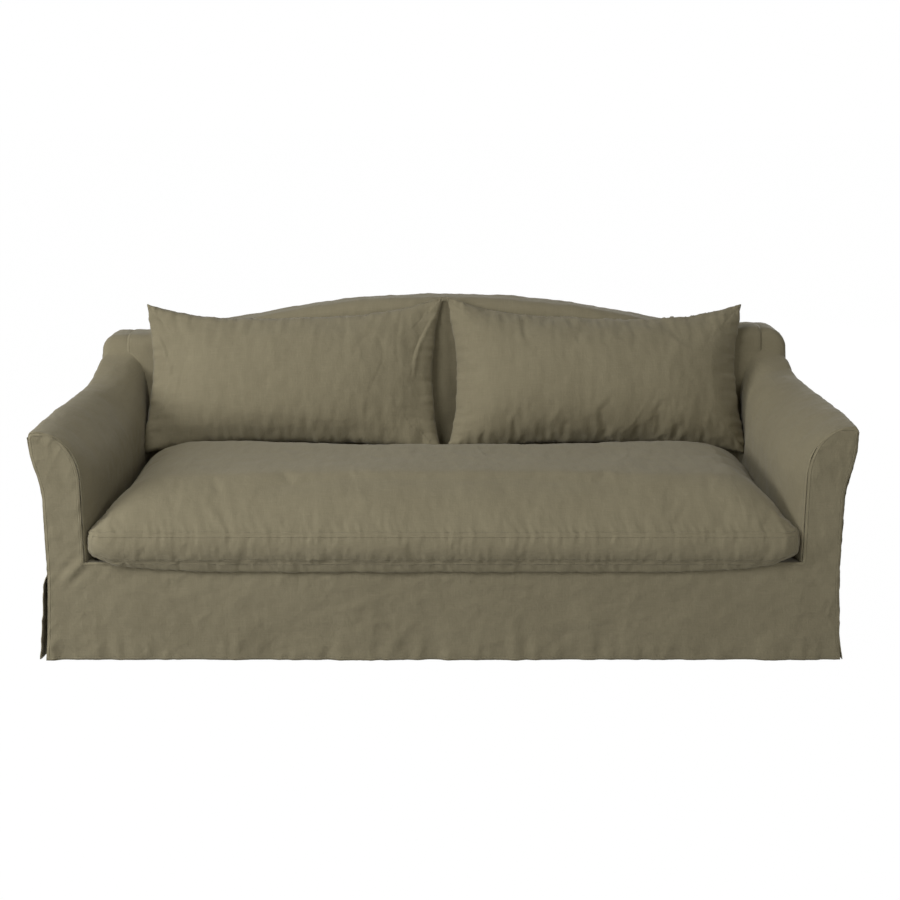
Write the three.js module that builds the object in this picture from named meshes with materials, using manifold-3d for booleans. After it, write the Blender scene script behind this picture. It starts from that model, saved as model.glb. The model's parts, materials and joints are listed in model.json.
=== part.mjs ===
// A camelback sofa in a loose linen cover: one long seat cushion, two back pillows,
// sloping arms that sweep up into a back with a humped top, and a skirt to the floor.
// Lengths are millimetres. X runs along the sofa, Y from its front to its back, Z up.
import * as THREE from 'three';
import { mergeVertices } from 'three/addons/utils/BufferGeometryUtils.js';
import Module from 'manifold-3d';

const wasm = await Module();
wasm.setup();

// Driving sizes of the whole sofa
const bodyWidth = 2166; // across the outside arms at seat height
const depth = 930; // from the front panel to the outside back
const deckHeight = 290; // the cloth that the seat cushion lies on
const armHeight = 655; // the level stretch of the arm's top
const armSweepRise = 105; // how far the arm's top climbs to meet the shoulder
const shoulderStep = 23; // how far the back's ends stand over the arms' ends
const camelRise = 107; // the hump above the shoulders
const hemClearance = 6; // the skirt's hem above the floor

// Cloth, padding and clearances
const clothThickness = 3;
const gap = 0.3; // between pieces that touch
const sideBatting = 5;
const frontBatting = 8;
const armTopPad = 30;
const backTopPad = 30;
const deckPad = 18;
const overrun = 60; // how far a cutting solid runs past what it cuts
const mergeDistance = 0.0001; // points nearer than this are one

// The arm's section
const armThickness = 103; // at the front, from the inner seam to the outside
const armSwell = 46; // how much thicker the padding is behind the front seam
const swellLength = 300; // the length over which it swells
const outerFlare = 27; // how far the outside leans out at the top
const outerFlareHeight = 150;
const innerFlare = 25;
const innerFlareHeight = 120;
const flareTopDrop = 36; // the flare is complete this far below the top
const facingRollWidth = 53; // how far in the inner top edge is rounded, where the facing is sewn on
const facingRollHeight = 110; // and how far down
const armRollWidth = 105; // the same behind the facing, where the padding is thick
const armRollHeight = 130;
const rearRoll = 60; // and at the shoulder, where it tightens again
const rearRollStart = 470;
const rearRollLength = 170;
const armOuterRadius = 13;
const armFrontDip = 12; // the top dips where the facing is sewn on
const armFrontDipLength = 100;
const rearNarrowing = 8; // each side comes in this much towards the back
const skirtFlare = 18; // how far the hem stands out at the sides
const rearSkirtFlare = 10;
const skirtTopDrop = 15; // the skirt starts to flare this far below the deck
const skirtCurveShare = 1.5;
const swellCurveShare = 2.5;
const swellLostShare = 0.35; // the part of the swell that is gone where the arm leans out

// The sweep of the arm and the hump of the back, as shares
const sweepStartShare = 0.54;
const sweepEndShare = 0.99;
const sweepPowerShare = 1.35;
const humpWidthShare = 0.877;
const humpPowerShare = 1.3;

// The back's section
const backDepthAtDeck = 240;
const backDepthAtShoulder = 130;
const backFrontRadius = 38;
const backRearRadius = 12;
const shoulderRadius = 58;

// The wooden frame
const boardThickness = 28;
const railHeight = 130;
const springRoom = 13.7; // between the rails' top and the seat deck's pad
const frontPostDepth = 50;
const rearPostDepth = 70;
const rearPostTopDepth = 50;
const centrePostWidth = 60;
const centrePostPlaceShare = 0.43;
const sidePanelThickness = 5;
const backPanelThickness = 3;
const armRailHeight = 60;
const topRailHeight = 95;
const lowerRailRise = 40; // above the deck
const lowerRailHeight = 60;
const crossRailHeight = 60;
const crossRailPlaceShare = 0.34;
const cornerBlockLeg = 110;
const cornerBlockHeight = 60;
const dustCoverThickness = 1.5;

// Feet
const footTopWidth = 60;
const footBottomWidth = 44;
const footSetback = 75;
const footChamfer = 6;

// Springs and webbing
const springCount = 7;
const springWire = 3.8;
const springWidth = 46;
const springTurns = 10;
const springSpanShare = 0.86; // the row of springs as a share of the rail
const springBendShare = 0.35; // how round the bends of the wire are
const clipLength = 34;
const clipHeight = 9;
const clipWall = 2.5;
const strapCount = 4;
const strapWidth = 60;
const strapThickness = 2;
const strapSpanShare = 0.78;

// The seat cushion
const cushionSideClearance = 4;
const cushionRearClearance = 14;
const cushionFrontOverhang = 15;
const cushionBorder = 78;
const cushionBottomRise = 7;
const cushionCrown = 100;
const cushionEdgeRise = 18; // how much higher the top seam is behind the front edge
const cushionEdgeLength = 170;
const cushionBelly = 9;
const cushionFrontRadius = 62;
const cushionRearRadius = 40;
const crownPowerShare = 5;
const crownRearPowerShare = 7; // it stays high towards the pillows

// The zip along the cushion's rear border
const zipHeight = 8;
const zipThickness = 1.6;
const zipLengthShare = 0.86;
const sliderLength = 12;
const sliderThickness = 3.2;
const pullLength = 22;
const pullWidth = 5;
const pullThickness = 1.2;

// The back pillows
const pillowCornerReach = 21; // how far its outer corners lie over the leaning arm
const pillowHalfHeight = 240;
const pillowCentreGap = 9; // from the sofa's middle to the inner corners
const pillowFrontBulge = 92;
const pillowRearBulge = 58;
const pillowLeanShare = 0.2267; // of a right angle, from upright
const pillowMiddleRise = 360; // above the deck
const pillowMiddleFromRear = 207;
const pillowSidePullShare = 0.07;
const pillowTopTaper = 20; // its outer side comes in this much from the bottom to the top
const pillowInnerCornerRise = 26; // the top corner at the sofa's middle stands higher
const pillowTopPullShare = 0.22;
const pillowBottomPullShare = 0.03;
const pillowCurveShare = 4; // how late its fullness falls off towards the edges
const pillowFullShare = 0.6;
const pillowEdge = 5; // half the thickness of the sewn edge
const restClearance = 1.9; // between a pillow and what it rests on, before both are faceted

// The kick pleats behind the front corners
const pleatDrop = 40; // below the deck
const pleatReach = 110;

// Colours
const linenColour = 0x837b66;
const linenShadeColour = 0x6f6856;
const beechColour = 0xc9a173;
const plyColour = 0xb98f60;
const foamColour = 0xe9e2c8;
const steelColour = 0x8b8f94;
const webbingColour = 0x3b3a38;
const dustColour = 0x24242a;

const finish = (color, roughness, metalness = 0) => () => (
  new THREE.MeshStandardMaterial({ color, roughness, metalness })
);
const linen = finish(linenColour, 0.95);
const linenShade = finish(linenShadeColour, 0.95);
const beech = finish(beechColour, 0.6);
const ply = finish(plyColour, 0.7);
const foam = finish(foamColour, 0.95);
const steel = finish(steelColour, 0.35, 0.9);
const webbing = finish(webbingColour, 0.9);
const dustCloth = finish(dustColour, 1);

// Places worked out from the sizes above
const shoulderHeight = armHeight + armSweepRise + shoulderStep;
const skirtTop = deckHeight - skirtTopDrop;
const pleatTop = deckHeight - pleatDrop;
const lowerRailBottom = deckHeight + lowerRailRise;
const pillowMiddleHeight = deckHeight + pillowMiddleRise;
const halfWidth = bodyWidth / 2;
const halfRear = halfWidth - rearNarrowing;
const padInset = clothThickness + gap;
const coreOuter = halfRear - padInset - sideBatting;
const panelInner = coreOuter - gap - sidePanelThickness;
const postOuter = panelInner - gap;
const postInner = postOuter - boardThickness;
const coreInner = postInner - gap;
const coreFront = padInset + frontBatting;
const coreRear = depth - padInset - sideBatting;
const railFront = coreFront + gap;
const deckPadBottom = deckHeight - padInset - deckPad;
const railTop = deckPadBottom - springRoom;
const railBottom = railTop - railHeight;
const frameRear = coreRear - gap - backPanelThickness - gap;
const seatSplit = coreInner - gap;
const shoulderEnd = halfRear - shoulderRadius;
const backLeanRun = backDepthAtDeck - backDepthAtShoulder;
const backLeanRise = shoulderHeight - deckHeight;

const sofa = new THREE.Group();

// Adds a named piece made of one geometry
function addPiece(name, geometry, material, parent = sofa) {
  const mesh = new THREE.Mesh(geometry, material);
  mesh.name = name;
  parent.add(mesh);
  return mesh;
}

const clamp01 = (value) => Math.min(1, Math.max(0, value));
const smooth = (value) => {
  const share = clamp01(value);
  return share * share * (3 - 2 * share);
};
const mix = (low, high, share) => low + (high - low) * share;

// A closed mesh whose faces share their points, as a solid that can be joined and cut
function sharedSolid(geometry) {
  return new wasm.Manifold(new wasm.Mesh({
    numProp: 3,
    vertProperties: new Float32Array(geometry.attributes.position.array),
    triVerts: new Uint32Array(geometry.index.array),
  }));
}

// The same for a mesh that has a point of its own at each face's corner
function toSolid(geometry) {
  const bare = geometry.clone();
  bare.deleteAttribute('normal');
  bare.deleteAttribute('uv');
  return sharedSolid(mergeVertices(bare, mergeDistance));
}

function toGeometry(solid) {
  const mesh = solid.getMesh();
  const geometry = new THREE.BufferGeometry();
  geometry.setAttribute('position', new THREE.BufferAttribute(new Float32Array(mesh.vertProperties), 3));
  geometry.setIndex(new THREE.BufferAttribute(new Uint32Array(mesh.triVerts), 1));
  return geometry;
}

// The other side's copy of a piece, with its faces turned to point out again
function mirrored(geometry) {
  const copy = geometry.clone();
  copy.scale(-1, 1, 1);
  const index = copy.index.array;
  for (let i = 0; i < index.length; i += 3) {
    [index[i], index[i + 1]] = [index[i + 1], index[i]];
  }
  return copy;
}

function box(x0, x1, y0, y1, z0, z1) {
  const geometry = new THREE.BoxGeometry(x1 - x0, y1 - y0, z1 - z0);
  geometry.translate((x0 + x1) / 2, (y0 + y1) / 2, (z0 + z1) / 2);
  return geometry;
}

// A board whose outline is drawn as [y, z] points, between two places along X
function boardAcross(outline, x0, x1) {
  const shape = new THREE.Shape(outline.map(([y, z]) => new THREE.Vector2(y, z)));
  const geometry = new THREE.ExtrudeGeometry(shape, { depth: x1 - x0, bevelEnabled: false });
  geometry.rotateY(Math.PI / 2);
  geometry.rotateX(Math.PI / 2);
  geometry.translate(x0, 0, 0);
  return geometry;
}

// A board whose outline is drawn as [x, z] points, between two places along Y
function boardAlong(outline, y0, y1) {
  const shape = new THREE.Shape(outline.map(([x, z]) => new THREE.Vector2(x, z)));
  const geometry = new THREE.ExtrudeGeometry(shape, { depth: y1 - y0, bevelEnabled: false });
  geometry.rotateX(Math.PI / 2);
  geometry.translate(0, y1, 0);
  return geometry;
}

// A skin through rings of points. Its ends are closed by rungs from a ring's one side to its other,
// or by fans round two middle points.
function loft(rings, middles = []) {
  const count = rings[0].length;
  const points = [...rings.flat(), ...middles];
  const faces = [];
  for (let r = 0; r + 1 < rings.length; r += 1) {
    for (let i = 0; i < count; i += 1) {
      const a = r * count + i;
      const b = r * count + ((i + 1) % count);
      faces.push(a, b, b + count, a, b + count, a + count);
    }
  }
  const last = (rings.length - 1) * count;
  if (middles.length > 0) {
    const [start, end] = [points.length - 2, points.length - 1];
    for (let i = 0; i < count; i += 1) {
      const next = (i + 1) % count;
      faces.push(next, i, start, last + i, last + next, end);
    }
    return outwards(points, faces);
  }
  for (let a = 0, b = count - 1; a + 1 < b; a += 1, b -= 1) {
    faces.push(a + 1, a, b, last + a, last + a + 1, last + b);
    if (a + 2 < b) {
      faces.push(b, b - 1, a + 1, last + b - 1, last + b, last + a + 1);
    }
  }
  return outwards(points, faces);
}

// Points and faces as a geometry whose faces point out
function outwards(points, faces) {
  const geometry = new THREE.BufferGeometry();
  geometry.setAttribute('position', new THREE.Float32BufferAttribute(points.flatMap((p) => p.toArray()), 3));
  geometry.setIndex(faces);
  return signedVolume(geometry) > 0 ? geometry : turnedOut(geometry);
}

function signedVolume(geometry) {
  const p = geometry.attributes.position;
  const index = geometry.index.array;
  const [a, b, c] = [new THREE.Vector3(), new THREE.Vector3(), new THREE.Vector3()];
  let sum = 0;
  for (let i = 0; i < index.length; i += 3) {
    a.fromBufferAttribute(p, index[i]);
    b.fromBufferAttribute(p, index[i + 1]);
    c.fromBufferAttribute(p, index[i + 2]);
    sum += a.dot(b.cross(c));
  }
  return sum;
}

function turnedOut(geometry) {
  const index = geometry.index.array;
  for (let i = 0; i < index.length; i += 3) {
    [index[i], index[i + 1]] = [index[i + 1], index[i]];
  }
  return geometry;
}

// The arm's top edge at a depth: level, then an S that climbs to the shoulder
function armTop(y) {
  const dip = armFrontDip * (1 - smooth(y / armFrontDipLength));
  const start = depth * sweepStartShare;
  const run = clamp01((y - start) / (depth * sweepEndShare - start));
  return armHeight - dip + armSweepRise * smooth(run ** sweepPowerShare);
}

// How far along the change from the skirt's flare to the upright side a height is
const flareShare = (z) => 1 - clamp01((z - hemClearance) / (skirtTop - hemClearance));

// The outside of the arm at a depth and height, measured from the sofa's middle
function outerFace(y, z) {
  const lean = smooth((z - (armHeight - flareTopDrop - outerFlareHeight)) / outerFlareHeight);
  const forward = 1 - smooth(y / depth);
  const skirt = skirtFlare * flareShare(z) ** skirtCurveShare;
  return halfWidth - (rearNarrowing * y) / depth + outerFlare * lean * forward + skirt;
}

// The inside of the arm: drawn in at the front seam, padded behind it, leaning out at the top
function innerFace(y, z) {
  const lean = smooth((z - (armTop(y) - flareTopDrop - innerFlareHeight)) / innerFlareHeight);
  const swell = armSwell * (1 - (1 - clamp01(y / swellLength)) ** swellCurveShare);
  return halfWidth - armThickness + innerFlare * lean - swell * (1 - swellLostShare * lean);
}

// The top edge of the back: a hump that runs out level at the shoulders
function backTop(x) {
  const share = clamp01(Math.abs(x) / (halfWidth * humpWidthShare));
  return shoulderHeight + camelRise * (1 - smooth(share ** humpPowerShare));
}

// The front of the back at a height: it leans away from the seat
const backFace = (z) => depth - backDepthAtDeck + (backLeanRun * (z - deckHeight)) / backLeanRise;

// How far the arm's inner top edge is rounded at a depth, inwards and downwards
const rolledTo = (front, behind) => (y) => {
  const soft = mix(front, behind, smooth(y / swellLength));
  return mix(soft, rearRoll, smooth((y - rearRollStart) / rearRollLength));
};
const rollWidth = rolledTo(facingRollWidth, armRollWidth);
const rollHeight = rolledTo(facingRollHeight, armRollHeight);

const armDepthShares = [0.05, 0.1, 0.17, 0.25, 0.34, 0.5, 0.6, 0.67, 0.73, 0.78, 0.83, 0.88, 0.94];
const quarterTurnShares = [0, 0.33, 0.67, 1];
const rollShares = [0, 0.2, 0.4, 0.6, 0.8, 1];
const innerSideShares = [0, 0.35, 0.6, 0.75, 0.88];
const outerSideShares = [0.88, 0.74, 0.6, 0];
const backSideShares = [0, 0.5, 1];
const humpSteps = 18; // facets along the hump

// Points of a rounded corner from one side to the top, in [out, up] from the corner's centre
const quarter = (width, height = width, shares = quarterTurnShares) => shares.map((share) => {
  const angle = (share * Math.PI) / 2;
  return [width * Math.cos(angle), height * Math.sin(angle)];
});

// One section of the arm, inset all round from the cloth's outside
function armRing(y, place, inset) {
  const bottom = hemClearance - (inset > 0 ? overrun : 0);
  const top = armTop(y) - inset;
  const width = rollWidth(y) - inset;
  const height = rollHeight(y) - inset;
  const outerRadius = armOuterRadius - inset / 2;
  const innerStart = top - height;
  const outerStart = top - outerRadius;
  const ring = [];
  for (const share of innerSideShares) {
    const z = mix(deckHeight - overrun, innerStart, share);
    ring.push([innerFace(y, z) + inset, z]);
  }
  const innerX = innerFace(y, innerStart) + inset + width;
  quarter(width, height, rollShares).forEach(([out, up]) => ring.push([innerX - out, innerStart + up]));
  const outerX = outerFace(y, outerStart) - inset - outerRadius;
  quarter(outerRadius).reverse().forEach(([out, up]) => ring.push([outerX + out, outerStart + up]));
  for (const share of outerSideShares) {
    const z = mix(skirtTop, outerStart, share);
    ring.push([outerFace(y, z) - inset, z]);
  }
  const skirtMiddle = (skirtTop + hemClearance) / 2;
  ring.push([outerFace(y, skirtMiddle) - inset, skirtMiddle]);
  ring.push([outerFace(y, hemClearance) - inset, bottom]);
  ring.unshift([innerFace(y, deckHeight) + inset, bottom]);
  return ring.map(([x, z]) => new THREE.Vector3(x, place, z));
}

function armForm(inset) {
  const places = [[0, inset], ...armDepthShares.map((s) => [s * depth, s * depth]), [depth, depth - inset]];
  const rings = places.map(([y, place]) => armRing(y, place, inset));
  return sharedSolid(loft(rings));
}

// One section of the back. drop lowers its top where the shoulder rounds over.
function backRing(x, drop, inset) {
  const bottom = hemClearance - (inset > 0 ? overrun : 0);
  const top = backTop(Math.min(Math.abs(x), shoulderEnd)) - drop - inset;
  const frontRadius = backFrontRadius - inset;
  const rearRadius = backRearRadius - inset / 2;
  const frontStart = top - frontRadius;
  const low = deckHeight - overrun;
  const ring = [[backFace(low) + inset, bottom]];
  for (const share of backSideShares) {
    const z = mix(low, frontStart, share);
    ring.push([backFace(z) + inset, z]);
  }
  const frontY = backFace(frontStart) + inset + frontRadius;
  quarter(frontRadius).slice(1).forEach(([out, up]) => ring.push([frontY - out, frontStart + up]));
  const rear = depth - inset;
  quarter(rearRadius).reverse().forEach(([out, up]) => {
    ring.push([rear - rearRadius + out, top - rearRadius + up]);
  });
  const skirtMiddle = (skirtTop + hemClearance) / 2;
  ring.push([rear, skirtTop]);
  ring.push([rear + rearSkirtFlare * flareShare(skirtMiddle) ** skirtCurveShare, skirtMiddle]);
  ring.push([rear + rearSkirtFlare, bottom]);
  return ring.map(([y, z]) => {
    const spread = (outerFace(depth, Math.max(z, hemClearance)) - inset) / (halfRear - inset);
    return new THREE.Vector3(x * Math.max(1, spread), y, z);
  });
}

function backForm(inset) {
  const end = halfRear - inset;
  const radius = shoulderRadius - inset;
  const right = quarterTurnShares.map((share) => {
    const angle = (share * Math.PI) / 2;
    return [end - radius + radius * Math.cos(angle), radius * (1 - Math.sin(angle))];
  });
  const middle = [];
  for (let i = 1; i < humpSteps; i += 1) {
    middle.push([(end - radius) * (1 - (2 * i) / humpSteps), 0]);
  }
  const left = right.map(([x, drop]) => [-x, drop]).reverse();
  const rings = [...right, ...middle, ...left].map(([x, drop]) => backRing(x, drop, inset));
  return sharedSolid(loft(rings));
}

function baseForm(inset) {
  const bottom = hemClearance - (inset > 0 ? overrun : 0);
  const rear = backFace(deckHeight) + overrun;
  return toSolid(box(-seatSplit, seatSplit, inset, rear, bottom, deckHeight - inset));
}

const flipX = (solid) => sharedSolid(mirrored(toGeometry(solid)));

// The whole upholstered body without its cushions, inset from the cloth's outside
function bodyForm(inset) {
  const arm = armForm(inset);
  return arm.add(flipX(arm)).add(backForm(inset)).add(baseForm(inset));
}

// A block that fills one side of the plane through three points, moved back by a clearance
function blockBehind(a, b, c, clearance) {
  const normal = new THREE.Vector3().crossVectors(b.clone().sub(a), c.clone().sub(a)).normalize();
  const size = bodyWidth + depth;
  const geometry = new THREE.BoxGeometry(size, size, size);
  geometry.translate(0, 0, size / 2 + clearance);
  const turn = new THREE.Quaternion().setFromUnitVectors(new THREE.Vector3(0, 0, 1), normal);
  geometry.applyQuaternion(turn);
  geometry.translate(a.x, a.y, a.z);
  return toSolid(geometry);
}

// Where the arm's cloth is sewn to the back's: a plane through the inner corner and the rear corner
const seamInnerLow = new THREE.Vector3(innerFace(depth, deckHeight), backFace(deckHeight), deckHeight);
const seamInnerHigh = new THREE.Vector3(seamInnerLow.x, backFace(shoulderHeight), shoulderHeight);
const seamRear = new THREE.Vector3(halfRear, depth, shoulderHeight);
const rightArmSide = (clearance) => blockBehind(seamInnerLow, seamRear, seamInnerHigh, clearance);

const reach = bodyWidth;
const outsideFrom = (y0, y1) => toSolid(box(-reach, reach, y0, y1, -overrun, reach));

// The space under the outside arm's top seam
function outsideArmBlock(clearance) {
  const outline = [[-overrun, armTop(0)], ...armDepthShares.map((s) => [s * depth, armTop(s * depth)])];
  outline.push([depth + overrun, armTop(depth)]);
  const lowered = outline.map(([y, z]) => [y, z - armOuterRadius + clearance]);
  const floor = [[-overrun, -overrun], [depth + overrun, -overrun]];
  return toSolid(boardAcross([...floor, ...lowered.reverse()], postInner - clearance, reach));
}

// The space of the wooden frame, which the padding goes round
function armCore() {
  const outline = armDepthShares.map((s) => [s * depth, armTop(s * depth) - armTopPad]).reverse();
  const front = [coreFront, armTop(0) - armTopPad];
  const rear = [coreRear, armTop(depth) - armTopPad];
  const floor = [[coreFront, -overrun], [coreRear, -overrun]];
  return toSolid(boardAcross([...floor, rear, ...outline, front], coreInner, coreOuter));
}

const rearPostFront = (z) => {
  const share = clamp01((z - deckHeight) / backLeanRise);
  return mix(frameRear - rearPostDepth, frameRear - rearPostTopDepth, share);
};

function backCore() {
  const front = (z) => rearPostFront(z) - gap - strapThickness - gap;
  const top = shoulderHeight + camelRise;
  const outline = [[front(deckHeight), -overrun], [coreRear, -overrun], [coreRear, top], [front(top), top]];
  outline.push([front(deckHeight), deckHeight]);
  const slab = toSolid(boardAcross(outline, -coreOuter, coreOuter));
  return slab.intersect(toSolid(boardAlong(humpOutline(backTopPad, -overrun), 0, depth)));
}

// The hump's curve, lowered, from right to left over the whole frame
const humpEdge = (drop) => Array.from({ length: humpSteps + 1 }, (_, i) => {
  const x = coreOuter * (1 - (2 * i) / humpSteps);
  return [x, backTop(x) - drop];
});

// The outline under the lowered hump, down to a floor height
const humpOutline = (drop, floor) => [[-coreOuter, floor], [coreOuter, floor], ...humpEdge(drop)];

// A board cut off at the same distance on both sides of the middle
function cutToHalf(board, half) {
  return toSolid(board).intersect(toSolid(box(-half, half, 0, depth, -overrun, reach)));
}

function baseCore() {
  return toSolid(box(-coreOuter, coreOuter, coreFront, coreRear, -overrun, deckPadBottom));
}

// Cloth cover, in the pieces that it is sewn from
function addCover() {
  const shell = bodyForm(0).subtract(bodyForm(clothThickness));
  addPiece('front_panel', toGeometry(shell.intersect(outsideFrom(-overrun, clothThickness))), linen());
  const behind = shell.subtract(outsideFrom(-overrun, clothThickness + gap));
  const rearPlace = depth - clothThickness;
  const back = behind.intersect(outsideFrom(rearPlace, depth + overrun));
  addPiece('outside_back_panel', toGeometry(back), linen());
  const between = behind.subtract(outsideFrom(rearPlace - gap, depth + overrun));
  const deckBlock = (clearance) => {
    const low = deckPadBottom;
    return toSolid(box(-seatSplit, seatSplit, -overrun, rearPlace, low, deckHeight + clearance));
  };
  addPiece('deck_panel', toGeometry(between.intersect(deckBlock(0))), linenShade());
  const upper = between.subtract(deckBlock(gap));
  const outsideArm = toGeometry(upper.intersect(outsideArmBlock(0)));
  const outsideWide = outsideArmBlock(gap);
  const inner = upper.subtract(outsideWide).subtract(flipX(outsideWide));
  const insideArm = toGeometry(inner.intersect(rightArmSide(gap / 2)));
  const armSideWide = rightArmSide(-gap / 2);
  const insideBack = inner.subtract(armSideWide).subtract(flipX(armSideWide));
  addPiece('inside_back_panel', toGeometry(insideBack), linen());
  addPiece('right_outside_arm_panel', outsideArm, linen());
  addPiece('left_outside_arm_panel', mirrored(outsideArm), linen());
  addPiece('right_inside_arm_panel', insideArm, linen());
  addPiece('left_inside_arm_panel', mirrored(insideArm), linen());
}

// The folded cloth that closes the slit in the skirt at each front corner
function addPleats() {
  const fold = bodyForm(padInset).subtract(bodyForm(padInset + clothThickness));
  const low = hemClearance + clothThickness;
  const corner = box(halfWidth - pleatReach, reach, padInset, pleatReach, low, pleatTop);
  const pleat = toGeometry(fold.intersect(toSolid(corner)));
  addPiece('right_pleat_backing', pleat, linenShade());
  addPiece('left_pleat_backing', mirrored(pleat), linenShade());
}

// Foam and batting between the cloth and the frame
function addPadding() {
  const above = toSolid(box(-reach, reach, -overrun, depth + overrun, pleatTop + gap, reach));
  const arm = armCore();
  const padding = bodyForm(padInset).intersect(above)
    .subtract(arm.add(flipX(arm)).add(backCore()).add(baseCore()));
  const seatBlock = (clearance) => {
    const half = seatSplit + clearance;
    const high = deckHeight + clearance;
    return toSolid(box(-half, half, -overrun, coreRear, -overrun, high));
  };
  addPiece('seat_deck_pad', toGeometry(padding.intersect(seatBlock(0))), foam());
  const upper = padding.subtract(seatBlock(gap));
  const armSideWide = rightArmSide(-gap / 2);
  const armPad = toGeometry(upper.intersect(rightArmSide(gap / 2)));
  addPiece('right_arm_pad', armPad, foam());
  addPiece('left_arm_pad', mirrored(armPad), foam());
  const backPad = upper.subtract(armSideWide).subtract(flipX(armSideWide));
  addPiece('back_pad', toGeometry(backPad), foam());
}

// A pair of like pieces, one on each side
function addPair(name, geometry, material) {
  addPiece(`right_${name}`, geometry, material());
  addPiece(`left_${name}`, mirrored(indexed(geometry)), material());
}

// ExtrudeGeometry and BoxGeometry pieces as plain indexed meshes, ready to mirror
const indexed = (geometry) => toGeometry(toSolid(geometry));

// A clip that a spring's end hooks into, standing on a rail's top edge
function springClip(x, y) {
  const half = clipLength / 2;
  const wall = clipWall / 2;
  return toSolid(box(x - half, x + half, y - wall, y + wall, railTop - clipHeight, railTop + clipHeight));
}

const springPlaces = () => {
  const half = postInner * springSpanShare;
  return Array.from({ length: springCount }, (_, i) => mix(-half, half, i / (springCount - 1)));
};

const springFront = railFront + boardThickness;
const springRear = frameRear - boardThickness;

function addRails() {
  const half = postInner - gap;
  const withClips = (rail, y) => springPlaces().reduce((sum, x) => sum.add(springClip(x, y)), toSolid(rail));
  const front = box(-half, half, railFront, railFront + boardThickness, railBottom, railTop);
  addPiece('front_rail', toGeometry(withClips(front, springFront - clipWall)), beech());
  const rear = box(-half, half, frameRear - boardThickness, frameRear, railBottom, railTop);
  addPiece('rear_rail', toGeometry(withClips(rear, springRear + clipWall)), beech());
  const sideFront = railFront + frontPostDepth + gap;
  const sideRear = frameRear - rearPostDepth - gap;
  addPair('side_rail', box(postInner, postOuter, sideFront, sideRear, railBottom, railTop), beech);
  const crossX = half * crossRailPlaceShare;
  const crossHalf = boardThickness / 2;
  const cross = box(
    crossX - crossHalf,
    crossX + crossHalf,
    railFront + boardThickness + gap,
    frameRear - boardThickness - gap,
    railBottom,
    railBottom + crossRailHeight,
  );
  addPair('cross_rail', cross, beech);
}

// Three-cornered blocks glued into the frame's corners
function addCornerBlocks() {
  const side = postInner - gap;
  const make = (name, y, way) => {
    const shape = new THREE.Shape([
      new THREE.Vector2(side, y),
      new THREE.Vector2(side, y + way * cornerBlockLeg),
      new THREE.Vector2(side - cornerBlockLeg, y),
    ]);
    const geometry = new THREE.ExtrudeGeometry(shape, { depth: cornerBlockHeight, bevelEnabled: false });
    geometry.translate(0, 0, railBottom + gap);
    addPair(name, geometry, beech);
  };
  make('front_corner_block', railFront + boardThickness + gap, 1);
  make('rear_corner_block', frameRear - boardThickness - gap, -1);
}

function addPosts() {
  const frontRear = railFront + frontPostDepth;
  const dropped = armTopPad + gap;
  const frontOutline = [
    [railFront, railBottom],
    [frontRear, railBottom],
    [frontRear, armTop(0) - dropped],
    [railFront, armTop(0) - dropped],
  ];
  addPair('front_post', boardAcross(frontOutline, postInner, postOuter), beech);
  const top = armTop(rearPostFront(armHeight)) - dropped;
  const rearOutline = (high) => [
    [rearPostFront(deckHeight), railBottom],
    [frameRear, railBottom],
    [frameRear, high],
    [rearPostFront(high), high],
    [rearPostFront(deckHeight), deckHeight],
  ];
  addPair('rear_post', boardAcross(rearOutline(top), postInner, postOuter), beech);
  const x = postInner * centrePostPlaceShare;
  const halfPost = centrePostWidth / 2;
  const under = backTop(x + halfPost) - backTopPad - gap - topRailHeight - gap;
  const standing = rearOutline(under);
  const centre = toSolid(boardAcross(standing, x - halfPost, x + halfPost))
    .subtract(toSolid(box(-reach, reach, frameRear - boardThickness - gap, depth, -overrun, railTop + gap)))
    .subtract(lowerRailNotch());
  addPair('centre_post', toGeometry(centre), beech);
}

const lowerRailFront = () => rearPostFront(deckHeight) + (rearPostDepth - boardThickness) / 2;

// The slot in the posts that the lower rail of the back runs through
function lowerRailNotch() {
  const front = lowerRailFront() - gap;
  const low = lowerRailBottom - gap;
  const high = lowerRailBottom + lowerRailHeight + gap;
  return toSolid(box(-reach, reach, front, depth, low, high));
}

function addBackRails() {
  const half = postInner - gap;
  const edge = humpEdge(backTopPad + gap);
  const lower = edge.map(([x, z]) => [x, z - topRailHeight]).reverse();
  const front = rearPostFront(shoulderHeight);
  const board = boardAlong([...edge, ...lower], front, front + boardThickness);
  addPiece('camel_top_rail', toGeometry(cutToHalf(board, half)), beech());
  const railY = lowerRailFront();
  const railHigh = lowerRailBottom + lowerRailHeight;
  const lowerRail = box(-half, half, railY, railY + boardThickness, lowerRailBottom, railHigh);
  addPiece('back_lower_rail', lowerRail, beech());
}

// The scooped board under each arm's top, between the front and rear posts
function addArmRails() {
  const y0 = railFront + frontPostDepth + gap;
  const y1 = rearPostFront(armHeight) - gap;
  const steps = 12;
  const edge = Array.from({ length: steps + 1 }, (_, i) => {
    const y = mix(y0, y1, i / steps);
    return [y, armTop(y) - armTopPad - gap - armFrontDip];
  });
  const lower = edge.map(([y, z]) => [y, z - armRailHeight]).reverse();
  addPair('arm_top_rail', boardAcross([...edge, ...lower], postInner, postOuter), beech);
}

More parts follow.
